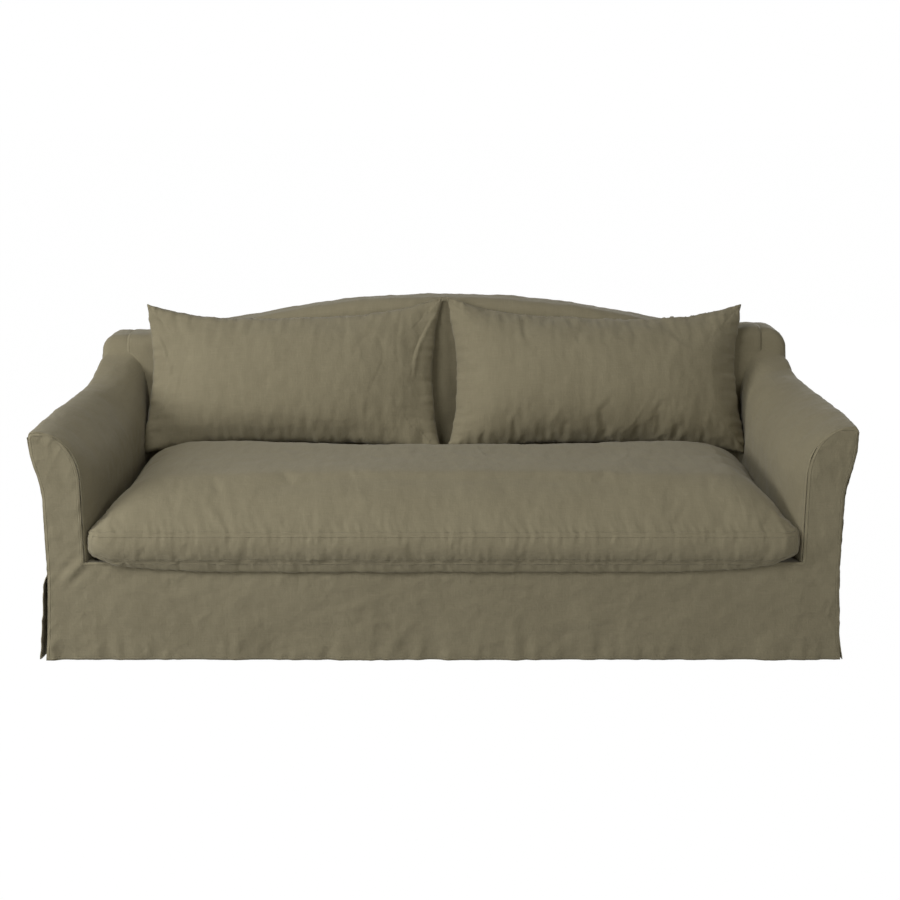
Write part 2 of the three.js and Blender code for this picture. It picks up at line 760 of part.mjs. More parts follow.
// Thin boards that the outside cloth lies against
function addFrameSkins() {
  const outline = armDepthShares.map((s) => [s * depth, armTop(s * depth) - armTopPad - gap]).reverse();
  const front = [railFront, armTop(0) - armTopPad - gap];
  const rear = [frameRear, armTop(depth) - armTopPad - gap];
  const side = [[railFront, railBottom], [frameRear, railBottom], rear, ...outline, front];
  addPair('arm_side_panel', boardAcross(side, panelInner, panelInner + sidePanelThickness), ply);
  const drop = backTopPad + gap;
  const rearFace = frameRear + gap;
  const back = boardAlong(humpOutline(drop, railBottom), rearFace, rearFace + backPanelThickness);
  addPiece('back_panel_board', toGeometry(cutToHalf(back, postOuter)), ply());
}

// Zigzag springs from the front rail to the rear rail
function addSprings() {
  const y0 = springFront - clipWall / 2 + gap;
  const y1 = springRear + clipWall / 2 - gap;
  const z = railTop + gap + springWire / 2;
  const half = (springWidth - springWire) / 2;
  springPlaces().forEach((x, place) => {
    const points = [];
    for (let i = 0; i <= springTurns; i += 1) {
      const side = i % 2 === 0 ? -1 : 1;
      const y = mix(y0, y1, i / springTurns);
      points.push(new THREE.Vector3(x - side * half, y, z), new THREE.Vector3(x + side * half, y, z));
    }
    const wire = wireShape(springWire / 2);
    const path = new THREE.CatmullRomCurve3(points, false, 'catmullrom', springBendShare);
    const options = { steps: points.length * 2, extrudePath: path, bevelEnabled: false };
    const spring = stretchedBetween(new THREE.ExtrudeGeometry(wire, options), y0, y1);
    addPiece(`seat_spring_${place + 1}`, spring, steel());
  });
}

// Stretches a piece along Y until it just fills the space between two places
function stretchedBetween(geometry, y0, y1) {
  geometry.computeBoundingBox();
  const { min, max } = geometry.boundingBox;
  geometry.translate(0, -min.y, 0);
  geometry.scale(1, (y1 - y0) / (max.y - min.y), 1);
  geometry.translate(0, y0, 0);
  return geometry;
}

const wireSides = 4;

function wireShape(radius) {
  const corners = Array.from({ length: wireSides }, (_, i) => {
    const angle = (i / wireSides) * 2 * Math.PI;
    return new THREE.Vector2(radius * Math.cos(angle), radius * Math.sin(angle));
  });
  return new THREE.Shape(corners);
}

// Webbing from the lower rail to the humped rail, which the back's foam leans on
function addStraps() {
  const half = postInner * strapSpanShare;
  for (let i = 0; i < strapCount; i += 1) {
    const x = mix(-half, half, i / (strapCount - 1));
    const railMiddle = backTop(Math.abs(x) + strapWidth / 2) - backTopPad - topRailHeight / 2;
    const high = Math.min(railMiddle, shoulderHeight);
    const low = lowerRailBottom;
    const face = (z) => rearPostFront(z) - gap;
    const outline = [
      [face(low) - strapThickness, low],
      [face(low), low],
      [face(high), high],
      [face(high) - strapThickness, high],
    ];
    const strap = boardAcross(outline, x - strapWidth / 2, x + strapWidth / 2);
    addPiece(`back_strap_${i + 1}`, strap, webbing());
  }
}

// Square tapered feet, chamfered at the floor: four under the corner blocks, two under the long rails
const footPlaces = () => {
  const x = postInner - footSetback;
  const yFront = railFront + footSetback;
  const yRear = frameRear - footSetback;
  const middleFront = railFront + footTopWidth / 2;
  const middleRear = frameRear - footTopWidth / 2;
  return [[x, yFront], [0, middleFront], [-x, yFront], [x, yRear], [0, middleRear], [-x, yRear]];
};

function addFeet() {
  const names = ['right_front', 'centre_front', 'left_front', 'right_rear', 'centre_rear', 'left_rear'];
  const top = railBottom - gap;
  const soleWidth = footBottomWidth - 2 * footChamfer;
  const levels = [[soleWidth, 0], [footBottomWidth, footChamfer], [footTopWidth, top]];
  const corners = [[-1, -1], [1, -1], [1, 1], [-1, 1]];
  footPlaces().forEach(([x, y], place) => {
    const rings = levels.map(([width, z]) => {
      const half = width / 2;
      return corners.map(([i, j]) => new THREE.Vector3(x + i * half, y + j * half, z));
    });
    addPiece(`${names[place]}_foot`, loft(rings), beech());
  });
}

// Thin black cloth stapled under the frame, with holes for the feet
function addDustCover() {
  const high = railBottom - gap;
  let sheet = toSolid(box(-postInner, postInner, railFront, frameRear, high - dustCoverThickness, high));
  for (const [x, y] of footPlaces()) {
    const half = footTopWidth / 2 + gap;
    sheet = sheet.subtract(toSolid(box(x - half, x + half, y - half, y + half, 0, reach)));
  }
  addPiece('dust_cover', toGeometry(sheet), dustCloth());
}

const cushionFront = -cushionFrontOverhang;
const cushionRear = backFace(deckHeight) - cushionRearClearance;
const cushionBottom = deckHeight + gap;
const cushionMiddle = (cushionFront + cushionRear) / 2;
const cushionHalfDepth = (cushionRear - cushionFront) / 2;
const cushionHalf = (y) => innerFace(Math.max(0, y), deckHeight) - cushionSideClearance;

// The height of the cushion's top seam: pulled down along the front
const topSeam = (y) => {
  const rise = cushionEdgeRise * smooth((y - cushionFront) / cushionEdgeLength);
  return cushionBottom + cushionBottomRise + cushionBorder + rise;
};

// The height of the cushion's crowned top at a place
function cushionTop(x, y) {
  const across = clamp01(Math.abs(x) / cushionHalf(y));
  const along = clamp01(Math.abs(y - cushionMiddle) / cushionHalfDepth);
  const power = y > cushionMiddle ? crownRearPowerShare : crownPowerShare;
  return topSeam(y) + cushionCrown * (1 - across ** (2 * crownPowerShare)) * (1 - along ** power);
}

// The cushion seen from above, as [x, y] points: round corners, sides that follow the arms
function cushionOutline() {
  const half = [];
  const edgeSteps = 9;
  const frontHalf = cushionHalf(cushionFront) - cushionFrontRadius;
  for (let i = 1; i <= edgeSteps; i += 1) {
    half.push([(frontHalf * i) / edgeSteps, cushionFront]);
  }
  const frontArc = cushionFront + cushionFrontRadius;
  for (const share of quarterTurnShares.slice(1, -1)) {
    const angle = (share * Math.PI) / 2;
    const out = cushionFrontRadius * Math.sin(angle);
    half.push([frontHalf + out, frontArc - cushionFrontRadius * Math.cos(angle)]);
  }
  const sideSteps = 6;
  const rearArc = cushionRear - cushionRearRadius;
  for (let i = 0; i <= sideSteps; i += 1) {
    const y = mix(frontArc, rearArc, i / sideSteps);
    half.push([cushionHalf(y), y]);
  }
  const rearHalf = cushionHalf(cushionRear) - cushionRearRadius;
  for (const share of quarterTurnShares.slice(1)) {
    const angle = (share * Math.PI) / 2;
    const out = cushionRearRadius * Math.cos(angle);
    half.push([rearHalf + out, rearArc + cushionRearRadius * Math.sin(angle)]);
  }
  for (let i = 1; i < edgeSteps; i += 1) {
    half.push([rearHalf * (1 - i / edgeSteps), cushionRear]);
  }
  const other = half.map(([x, y]) => [-x, y]).reverse();
  return [...half, ...other];
}

// A crowned box cushion: a drawn-in border between two seams, and a domed top
function addSeatCushion() {
  const outline = cushionOutline();
  const ringAt = (shrink, height) => outline.map(([x, y]) => {
    const px = (x * (cushionHalf(y) - shrink)) / cushionHalf(y);
    const py = cushionMiddle + ((y - cushionMiddle) * (cushionHalfDepth - shrink)) / cushionHalfDepth;
    return new THREE.Vector3(px, py, height(px, py));
  });
  const seamRise = (x, y) => topSeam(y);
  const middle = (x, y) => (topSeam(y) + cushionBottom + cushionBottomRise) / 2;
  const crown = (x, y) => cushionTop(x, y);
  const edge = cushionBelly;
  const crownShares = [0.955, 0.88, 0.76, 0.6, 0.4, 0.18, 0.01];
  const rings = [
    ringAt(cushionHalfDepth / 2, () => cushionBottom),
    ringAt(edge + cushionBottomRise, () => cushionBottom),
    ringAt(edge, () => cushionBottom + cushionBottomRise),
    ringAt(0, middle),
    ringAt(edge / 2, seamRise),
    ...crownShares.map((share) => ringAt(edge / 2 + (cushionHalfDepth - edge) * (1 - share), crown)),
  ];
  const heights = [cushionBottom, cushionTop(0, cushionMiddle)];
  const middles = heights.map((z) => new THREE.Vector3(0, cushionMiddle, z));
  addPiece('seat_cushion', loft(rings, middles), linen());
}

// The zip in the cushion's rear border, and the slider that opens it
function addZip() {
  const half = cushionHalf(cushionRear) * zipLengthShare;
  const middle = (topSeam(cushionRear) + cushionBottom + cushionBottomRise) / 2;
  const y0 = cushionRear + gap;
  const y1 = y0 + zipThickness;
  const low = middle - zipHeight / 2;
  const high = middle + zipHeight / 2;
  addPiece('seat_zip_chain', box(-half, half, y0, y1, low, high), webbing());
  const sliderX = -half + sliderLength;
  const front = y1 + gap;
  const slider = toSolid(box(
    sliderX - sliderLength / 2,
    sliderX + sliderLength / 2,
    front,
    front + sliderThickness,
    low,
    high,
  ));
  const pullTop = middle + zipHeight / 4;
  const pull = toSolid(box(
    sliderX - pullWidth / 2,
    sliderX + pullWidth / 2,
    front + sliderThickness - pullThickness / 2,
    front + sliderThickness + pullThickness / 2,
    pullTop - pullLength,
    pullTop,
  ));
  addPiece('seat_zip_slider', toGeometry(slider.add(pull)), steel());
}

// A knife-edged pillow: thin sewn edges drawn in between four pointed corners
function addPillows() {
  const acrossShares = [-1, -0.97, -0.88, -0.72, -0.5, -0.25, 0, 0.25, 0.5, 0.72, 0.82, 0.9, 0.96, 1];
  const upShares = [-1, -0.95, -0.88, -0.8, -0.7, -0.6, -0.3, 0, 0.3, 0.6, 0.82, 0.95, 1];
  const lean = (pillowLeanShare * Math.PI) / 2;
  const centreY = depth - pillowMiddleFromRear;
  const outerCorner = innerFace(centreY, deckHeight) + pillowCornerReach;
  const pillowHalfWidth = (outerCorner - pillowCentreGap) / 2;
  const centreX = pillowCentreGap + pillowHalfWidth;
  const place = (u, v, bulge) => {
    const high = (1 + v) / 2;
    const outward = (1 + u) / 2;
    const even = centreX + pillowHalfWidth * u * (1 - pillowSidePullShare * (1 - v * v));
    const x = even - pillowTopTaper * high * outward;
    const pull = v > 0 ? pillowTopPullShare : pillowBottomPullShare;
    const rise = pillowInnerCornerRise * (high * (1 - outward)) ** 2;
    const tall = pillowHalfHeight * v * (1 - pull * (1 - u ** pillowCurveShare)) + rise;
    const full = ((1 - u ** pillowCurveShare) * (1 - v ** pillowCurveShare)) ** pillowFullShare;
    const out = Math.sign(bulge) * (pillowEdge + (Math.abs(bulge) - pillowEdge) * full);
    const y = centreY + tall * Math.sin(lean) + out * Math.cos(lean);
    const z = pillowMiddleHeight + tall * Math.cos(lean) - out * Math.sin(lean);
    const rested = Math.max(z, cushionTop(x, y) + restClearance);
    const beside = Math.min(x, innerFace(y, rested) - restClearance);
    return new THREE.Vector3(beside, Math.min(y, backFace(rested) - restClearance), rested);
  };
  const points = [];
  for (const bulge of [-pillowFrontBulge, pillowRearBulge]) {
    for (const v of upShares) {
      for (const u of acrossShares) {
        points.push(place(u, v, bulge));
      }
    }
  }
  const pillow = outwards(points, twoSidedFaces(acrossShares.length, upShares.length));
  addPiece('right_back_pillow', pillow, linen());
  addPiece('left_back_pillow', mirrored(pillow), linen());
}

// Faces of a front grid and a rear grid of points, sewn together round their edges
function twoSidedFaces(columns, rows) {
  const faces = [];
  const at = (side, row, column) => side * rows * columns + row * columns + column;
  const quad = (a, b, c, d) => faces.push(a, b, c, a, c, d);
  for (let row = 0; row + 1 < rows; row += 1) {
    for (let column = 0; column + 1 < columns; column += 1) {
      quad(at(0, row, column), at(0, row, column + 1), at(0, row + 1, column + 1), at(0, row + 1, column));
      quad(at(1, row, column), at(1, row + 1, column), at(1, row + 1, column + 1), at(1, row, column + 1));
    }
  }
  for (let column = 0; column + 1 < columns; column += 1) {
    const top = rows - 1;
    quad(at(1, 0, column), at(1, 0, column + 1), at(0, 0, column + 1), at(0, 0, column));
    quad(at(0, top, column), at(0, top, column + 1), at(1, top, column + 1), at(1, top, column));
  }
  for (let row = 0; row + 1 < rows; row += 1) {
    const end = columns - 1;
    quad(at(0, row, 0), at(0, row + 1, 0), at(1, row + 1, 0), at(1, row, 0));
    quad(at(1, row, end), at(1, row + 1, end), at(0, row + 1, end), at(0, row, end));
  }
  return faces;
}

addCover();
addPleats();
addPadding();
addRails();
addCornerBlocks();
addPosts();
addBackRails();
addArmRails();
addFrameSkins();
addSprings();
addStraps();
addFeet();
addDustCover();
addSeatCushion();
addZip();
addPillows();

// The origin is under the middle of the sofa, on the floor
const extent = new THREE.Box3().setFromObject(sofa);
sofa.position.set(0, -(extent.min.y + extent.max.y) / 2, 0);
sofa.updateMatrixWorld(true);

export default sofa;
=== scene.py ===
# %% [markdown]
# # A camelback sofa in a loose linen cover
# The sofa is a wooden frame with padding, dressed in a loose cover that is sewn from linen panels.
# The frame, padding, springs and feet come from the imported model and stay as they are.
# Here the cloth gets its real form: each panel is a grid laid over the padded shape, and the three
# cushions are sewn envelopes that are blown up by the cloth simulation.

# %% The fixed frame
import json
import math

import bpy
import numpy as np
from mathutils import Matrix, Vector, noise


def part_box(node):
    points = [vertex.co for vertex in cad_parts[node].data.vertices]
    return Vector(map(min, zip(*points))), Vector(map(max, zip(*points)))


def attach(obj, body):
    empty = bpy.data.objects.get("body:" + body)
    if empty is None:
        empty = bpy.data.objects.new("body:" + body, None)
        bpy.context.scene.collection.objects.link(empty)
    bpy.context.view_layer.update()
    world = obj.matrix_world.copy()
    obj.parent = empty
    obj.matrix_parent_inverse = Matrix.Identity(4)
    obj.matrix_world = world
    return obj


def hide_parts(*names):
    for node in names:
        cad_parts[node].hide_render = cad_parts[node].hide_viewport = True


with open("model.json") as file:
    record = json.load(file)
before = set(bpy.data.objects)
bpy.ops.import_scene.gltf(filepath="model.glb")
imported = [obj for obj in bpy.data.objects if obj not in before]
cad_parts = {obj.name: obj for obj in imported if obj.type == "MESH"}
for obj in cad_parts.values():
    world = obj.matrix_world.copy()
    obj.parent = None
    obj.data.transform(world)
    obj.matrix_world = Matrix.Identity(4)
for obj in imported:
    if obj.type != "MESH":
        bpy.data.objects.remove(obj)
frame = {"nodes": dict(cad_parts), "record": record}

bpy.ops.object.select_all(action="DESELECT")
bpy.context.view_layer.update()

# %% [markdown]
# ## The camera
# The picture was taken from standing height, nearly four metres in front of the sofa, with a long
# lens that looks down a little. The focal length in pixels was found by fitting the sofa's outline.

# %% Camera
IMAGE_SIDE = 900
FOCAL_PIXELS = 1535.5
SENSOR = 36.0
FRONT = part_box("front_panel")[0][1]
CAMERA_BACK = 3.984
CAMERA_HEIGHT = 1.628
CAMERA_PITCH = 14.38
CAMERA_SIDE = 0.018

bpy.ops.object.camera_add(
    location=(CAMERA_SIDE, FRONT - CAMERA_BACK, CAMERA_HEIGHT),
    rotation=(math.radians(90 - CAMERA_PITCH), 0, 0),
)
camera = bpy.context.object
camera.name = "camera"
camera.data.sensor_width = SENSOR
camera.data.lens = FOCAL_PIXELS / IMAGE_SIDE * SENSOR
bpy.context.scene.camera = camera
bpy.context.scene.view_settings.view_transform = "Standard"
print("lens:", round(camera.data.lens, 2), "mm")

# %% [markdown]
# ## Materials as written maths
# A pattern such as a weave is a sum of noises and waves. Wiring those by hand takes long, so one
# small class lets a socket be added and multiplied like a number, and one method adds any node.

# %% Sockets that can be calculated with
class Signal:
    """A number that varies over the surface."""

    def __init__(self, finish, socket):
        self.finish = finish
        self.socket = socket

    def _with(self, operation, first, second):
        sockets = {0: first, 1: second}
        return self.finish.take("ShaderNodeMath", {"operation": operation}, sockets)

    def __add__(self, other):
        return self._with("ADD", self, other)

    def __radd__(self, other):
        return self._with("ADD", other, self)

    def __sub__(self, other):
        return self._with("SUBTRACT", self, other)

    def __rsub__(self, other):
        return self._with("SUBTRACT", other, self)

    def __mul__(self, other):
        return self._with("MULTIPLY", self, other)

    def __rmul__(self, other):
        return self._with("MULTIPLY", other, self)

    def __pow__(self, other):
        return self._with("POWER", self, other)


class Finish:
    """One material and its nodes."""

    def __init__(self, name, roughness=0.9, metallic=0.0, sheen=0.0):
        self.material = bpy.data.materials.new(name)
        self.material.use_nodes = True
        self.tree = self.material.node_tree
        self.shader = next(n for n in self.tree.nodes if n.type == "BSDF_PRINCIPLED")
        self.shader.inputs["Roughness"].default_value = roughness
        self.shader.inputs["Metallic"].default_value = metallic
        self.shader.inputs["Sheen Weight"].default_value = sheen
        self.shader.inputs["Sheen Roughness"].default_value = 0.5

    def add(self, kind, settings=None, sockets=None):
        node = self.tree.nodes.new(kind)
        for name, value in (settings or {}).items():
            setattr(node, name, value)
        for name, value in (sockets or {}).items():
            self.feed(node.inputs[name], value)
        return node

    def feed(self, socket, value):
        if isinstance(value, Signal):
            self.tree.links.new(value.socket, socket)
        else:
            socket.default_value = value

    def take(self, kind, settings=None, sockets=None, output=0):
        return Signal(self, self.add(kind, settings, sockets).outputs[output])

    def noise(self, place, scale, detail=2.0, roughness=0.5):
        """Soft noise from 0 to 1, about 0.5 in the middle."""
        values = {"Vector": place, "Scale": scale, "Detail": detail, "Roughness": roughness}
        return self.take("ShaderNodeTexNoise", {}, values)

    def stretched(self, place, x, y, z=1.0):
        return self.take("ShaderNodeVectorMath", {"operation": "MULTIPLY"}, {0: place, 1: (x, y, z)})

    def steps(self, value, low, high):
        """0 below low, 1 above high, smooth between."""
        settings = {"interpolation_type": "SMOOTHSTEP"}
        return self.take("ShaderNodeMapRange", settings, {"Value": value, "From Min": low, "From Max": high})

    def blend(self, share, first, second):
        node = self.add("ShaderNodeMix", {"data_type": "RGBA"})
        self.feed(node.inputs["Factor"], share)
        colours = [s for s in node.inputs if s.type == "RGBA"]
        self.feed(colours[0], first)
        self.feed(colours[1], second)
        return Signal(self, next(s for s in node.outputs if s.type == "RGBA"))

    def wave(self, turns):
        """0 to 1 and back once per turn."""
        sine = self.take("ShaderNodeMath", {"operation": "SINE"}, {0: turns * (2 * math.pi)})
        return sine * 0.5 + 0.5

    def bump(self, height, distance, strength=1.0):
        values = {"Height": height, "Distance": distance, "Strength": strength}
        self.feed(self.shader.inputs["Normal"], self.take("ShaderNodeBump", {}, values))


def colour(red, green, blue):
    """A colour as read off a screen, from 0 to 255, in the renderer's linear light."""
    def linear(value):
        share = value / 255
        return share / 12.92 if share <= 0.04045 else ((share + 0.055) / 1.055) ** 2.4
    return (linear(red), linear(green), linear(blue), 1.0)


# %% [markdown]
# ## Washed linen
# Linen is a plain weave of uneven flax threads. Thick places in the thread, the slubs, show as
# short lighter and darker dashes along both directions. Washing leaves a cloudy colour and fine
# crumples. The cloth map holds each panel's cut size in metres, so the thread runs with the panel.

# %% Linen
THREAD = 0.0011
SLUB_LENGTH = 0.030
STITCH_IN = 0.0085
STITCH_WIDE = 0.0013
STITCH_LONG = 0.0042


def linen_finish(name, light, dark, crumple=1.0):
    finish = Finish(name, roughness=0.92, sheen=0.12)
    cut = finish.take("ShaderNodeUVMap", {"uv_map": "cloth"})
    body = finish.take("ShaderNodeTexCoord", output="Object")
    warp = finish.noise(finish.stretched(cut, 1 / THREAD, 1 / SLUB_LENGTH), 0.7, 3.0)
    weft = finish.noise(finish.stretched(cut, 1 / SLUB_LENGTH, 1 / THREAD), 0.7, 3.0)
    wide_warp = finish.noise(finish.stretched(cut, 1 / (4 * THREAD), 0.6 / SLUB_LENGTH), 0.7, 2.0)
    wide_weft = finish.noise(finish.stretched(cut, 0.6 / SLUB_LENGTH, 1 / (4 * THREAD)), 0.7, 2.0)
    cloud = finish.noise(body, 7.0, 4.0, 0.6)
    threads = warp * 0.5 + weft * 0.5
    slubs = finish.steps(wide_warp, 0.55, 0.8) * 0.5 + finish.steps(wide_weft, 0.55, 0.8) * 0.5
    edge = finish.take("ShaderNodeAttribute", {"attribute_name": "edge"}, output=2)
    run = finish.take("ShaderNodeAttribute", {"attribute_name": "run"}, output=2)
    aside = (edge - STITCH_IN) * (1 / STITCH_WIDE)
    row = finish.steps(aside * aside, 1.0, 0.0)
    stitch = row * finish.steps(finish.wave(run * (1 / STITCH_LONG)), 0.15, 0.45)
    folded = finish.steps(edge, STITCH_IN, STITCH_IN * 0.75)
    # Along the stitch row the colour is darkened: painted shade in the sunk seam groove. The stitches on it are
    # lighter dashes of thread.
    shade = threads * 0.9 + cloud * 0.55 + slubs * 0.2 - 0.24 - row * 0.2 + stitch * 0.25
    finish.feed(finish.shader.inputs["Base Color"], finish.blend(shade, dark, light))
    finish.feed(finish.shader.inputs["Roughness"], cloud * 0.12 + 0.84)
    creases = finish.noise(body, 42.0, 5.0, 0.62)
    soft = finish.noise(body, 16.0, 3.0, 0.55)
    height = creases * (0.9 * crumple) + soft * (1.3 * crumple) + threads * 0.32 + slubs * 0.1
    finish.bump(height + folded * 0.35 - row * 0.45 + stitch * 0.25, 0.0016)
    return finish.material


LINEN_LIGHT = colour(150, 142, 117)
LINEN_DARK = colour(117, 109, 85)
linen = linen_finish("washed_linen", LINEN_LIGHT, LINEN_DARK)
# The same linen, darker and less crumpled, is painted shade for the deck under the seat cushion and for the slit
# backings.
shaded_linen = linen_finish("lining_linen", colour(132, 125, 105), colour(98, 91, 73), 0.6)
print("materials:", linen.name, shaded_linen.name)

# %% [markdown]
# ## The padded shape
# The arms swell behind their flat fronts, lean outwards at the top and climb in an S to the back.
# The back's top is one low hump. These few curves are the tailor's pattern: every panel is laid
# on them. Depth is counted from the front panel backwards, and height from the floor.

# %% The curves of the sofa
HALF_WIDTH = 1.083
DEPTH = 0.930
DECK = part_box("deck_panel")[1][2]
ARM_TOP = 0.655
ARM_RISE = 0.105
SHOULDER = 0.783
HUMP = 0.107
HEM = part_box("front_panel")[0][2]
ARM_THICKNESS = 0.103
ARM_OUTER_RADIUS = 0.014
BACK_ROLL_RADIUS = 0.038
BACK_REAR_RADIUS = 0.012
SHOULDER_RADIUS = {-1: 0.038, 1: 0.058}
HALF_REAR = HALF_WIDTH - 0.008
REAR_FLARE = 0.010


def smooth(share):
    share = np.clip(share, 0, 1)
    return share * share * (3 - 2 * share)


def mix(low, high, share):
    return low + (high - low) * share


def arm_sweep(depth):
    """The arm's crest: level, then an S up to the shoulder."""
    dip = 0.004 * (1 - smooth(depth / 0.1))
    climb = np.clip((depth / DEPTH - 0.54) / 0.45, 0, 1)
    return ARM_TOP - dip + ARM_RISE * smooth(climb ** 1.35)


def back_face(height):
    return DEPTH - 0.240 + 0.110 * (height - DECK) / (SHOULDER - DECK)


# The right shoulder and the right arm are filled a little higher than the left ones.
SHOULDER_SHIFT = {-1: -0.013, 1: 0.011}
ARM_SHIFT = {-1: 0.003, 1: 0.018}


def wrapped_sweep(side):
    """The same crest with the cloth drawn on over the end of the back, as a table over the depth."""
    depth = np.linspace(0, DEPTH, 466)
    shoulder = SHOULDER + SHOULDER_SHIFT[side]
    roll_start = back_face(shoulder - BACK_ROLL_RADIUS)
    into = np.clip(roll_start + BACK_ROLL_RADIUS - depth, 0, BACK_ROLL_RADIUS)
    roll = shoulder - BACK_ROLL_RADIUS + np.sqrt(BACK_ROLL_RADIUS ** 2 - into ** 2)
    arm = arm_sweep(depth) + ARM_SHIFT[side] * (1 - smooth((depth - 0.56) / 0.16))
    least = np.maximum(arm, np.where(depth < roll_start, 0, roll + 0.0005))
    reach = np.arange(-24, 25)
    weight = np.exp(-((reach * 0.002 / 0.011) ** 2))
    padded = np.pad(least, 24, mode="edge")
    softened = np.convolve(padded, weight / weight.sum(), mode="valid")
    return depth, np.maximum(softened, least)


SWEEPS = {side: wrapped_sweep(side) for side in (-1, 1)}


def arm_top(depth, side):
    return np.interp(depth, *SWEEPS[side])


def skirt_share(height):
    return 1 - np.clip((height - HEM) / (0.275 - HEM), 0, 1)


def outer_face(depth, height):
    """The arm's outside: it flares at the top towards the front, and at the hem."""
    lean = smooth((height - 0.469) / 0.15) * (1 - smooth(depth / DEPTH))
    return HALF_WIDTH - 0.008 * depth / DEPTH + 0.027 * lean + 0.018 * skirt_share(height) ** 1.5


def inner_face(depth):
    """The arm's inside: drawn in at the front seam and swelling behind it."""
    swell = 0.046 * (1 - (1 - np.clip(depth / 0.3, 0, 1)) ** 2.5)
    return HALF_WIDTH - ARM_THICKNESS - swell


def arm_edge(depth, side):
    """How round its outer top edge is: it grows into the round end of the shoulder."""
    return mix(ARM_OUTER_RADIUS, SHOULDER_RADIUS[side], smooth((depth - 0.74) / 0.09))


def arm_section(depth, side):
    """The arm's top falls inwards from its crest in one round: where, how wide, how tall, how full."""
    top = arm_top(depth, side)
    crest = outer_face(depth, top) - arm_edge(depth, side)
    rear = smooth((depth - 0.45) / 0.33)
    tall = mix(mix(0.140, 0.165, smooth(depth / 0.15)), 0.190, rear)
    fullness = mix(mix(2.1, 1.75, smooth(depth / 0.12)), 3.2, rear)
    return top, crest, crest - inner_face(depth), tall, fullness


def arm_inside(depth, height, side):
    """How far out the arm's inside and its rounded top lie at a height."""
    top, crest, width, tall, fullness = arm_section(depth, side)
    up = np.clip((height - top + tall) / tall, 0, 1)
    return crest - width * (1 - up ** fullness) ** (1 / fullness)


def beside_arm(points_x, depth, height):
    """The same on whichever side a point lies."""
    return np.where(points_x > 0, arm_inside(depth, height, 1), arm_inside(depth, height, -1))


def back_top(side):
    """The camel's hump, which runs out level at the shoulders."""
    share = np.clip(np.abs(side) / (HALF_WIDTH * 0.877), 0, 1)
    shift = np.where(side > 0, SHOULDER_SHIFT[1], SHOULDER_SHIFT[-1]) * smooth((np.abs(side) - 0.84) / 0.14)
    return SHOULDER + (HUMP - 0.003) * (1 - smooth(share ** 1.3)) + shift


print("hump at the middle:", round(float(back_top(0.0)), 3), "arm at the front:", round(float(arm_top(0.0, 1)), 3))

# %% [markdown]
# ## Laying cloth on the shape
# A panel starts as a flat grid, like the cut cloth. A place function says where each of its points
# lies on the shape. The lengths along the grid's own lines are kept as the cloth map, so the weave
# keeps its true scale, and they tell how far a point lies from the sewn edge. There the cloth is
# pulled into the seam and puckers, and everywhere it has the soft crumples of washed linen.

# %% Grids of cloth
CLOTH_THICKNESS = 0.0022
CLOTH_EASE = 0.0022


def lengths_along(points, axis):
    """Distance travelled along a grid's lines, from its first line."""
    step = np.linalg.norm(np.diff(points, axis=axis), axis=2)
    start = np.zeros_like(np.take(step, [0], axis=axis))
    return np.concatenate([start, np.cumsum(step, axis=axis)], axis=axis)


def grid_normals(points):
    across = np.gradient(points, axis=1)
    along = np.gradient(points, axis=0)
    normal = np.cross(across, along)
    return normal / np.maximum(np.linalg.norm(normal, axis=2, keepdims=True), 1e-9)


def wander(points, size, seed):
    """Smooth noise between about -0.6 and 0.6 that changes over the given size."""
    size = np.broadcast_to(np.asarray(size, dtype=float), (3,))
    flat = points.reshape(-1, 3) / size + seed * 7.31
    values = [noise.noise(Vector(p)) for p in flat]
    return np.array(values).reshape(points.shape[:-1])


def ridges(points, size, seed):
    """Thin raised lines, as where cloth was folded, in loose clusters."""
    crest = 1 - np.minimum(np.abs(wander(points, size, seed)) * 5, 1)
    cluster = np.clip(wander(points, size * 2.6, seed + 9) * 2.2 + 0.35, 0, 1)
    return crest ** 2 * cluster


def crumples(points, seed):
    broad = wander(points, 0.14, seed) * 0.0022
    middle = wander(points, 0.055, seed + 1) * 0.0018
    fine = wander(points, 0.024, seed + 2) * 0.0012
    return broad + middle + fine + ridges(points, 0.085, seed + 3) * 0.0011


def kept_out(raised):
    """Cloth can lift off the padding, but it hardly presses into it."""
    return np.where(raised > 0, raised, raised * 0.25)


def seam_pull(edge, run, seed):
    """Cloth drawn into a seam, with small puckers that fade away from it."""
    line = np.stack([run, edge * 0.25, np.zeros_like(run)], axis=-1)
    puckers = wander(line, 0.022, seed) * np.exp(-edge / 0.028) * 0.0026
    return puckers * np.clip(edge / 0.006, 0, 1) - 0.0014 * np.exp(-((edge / 0.0040) ** 2))


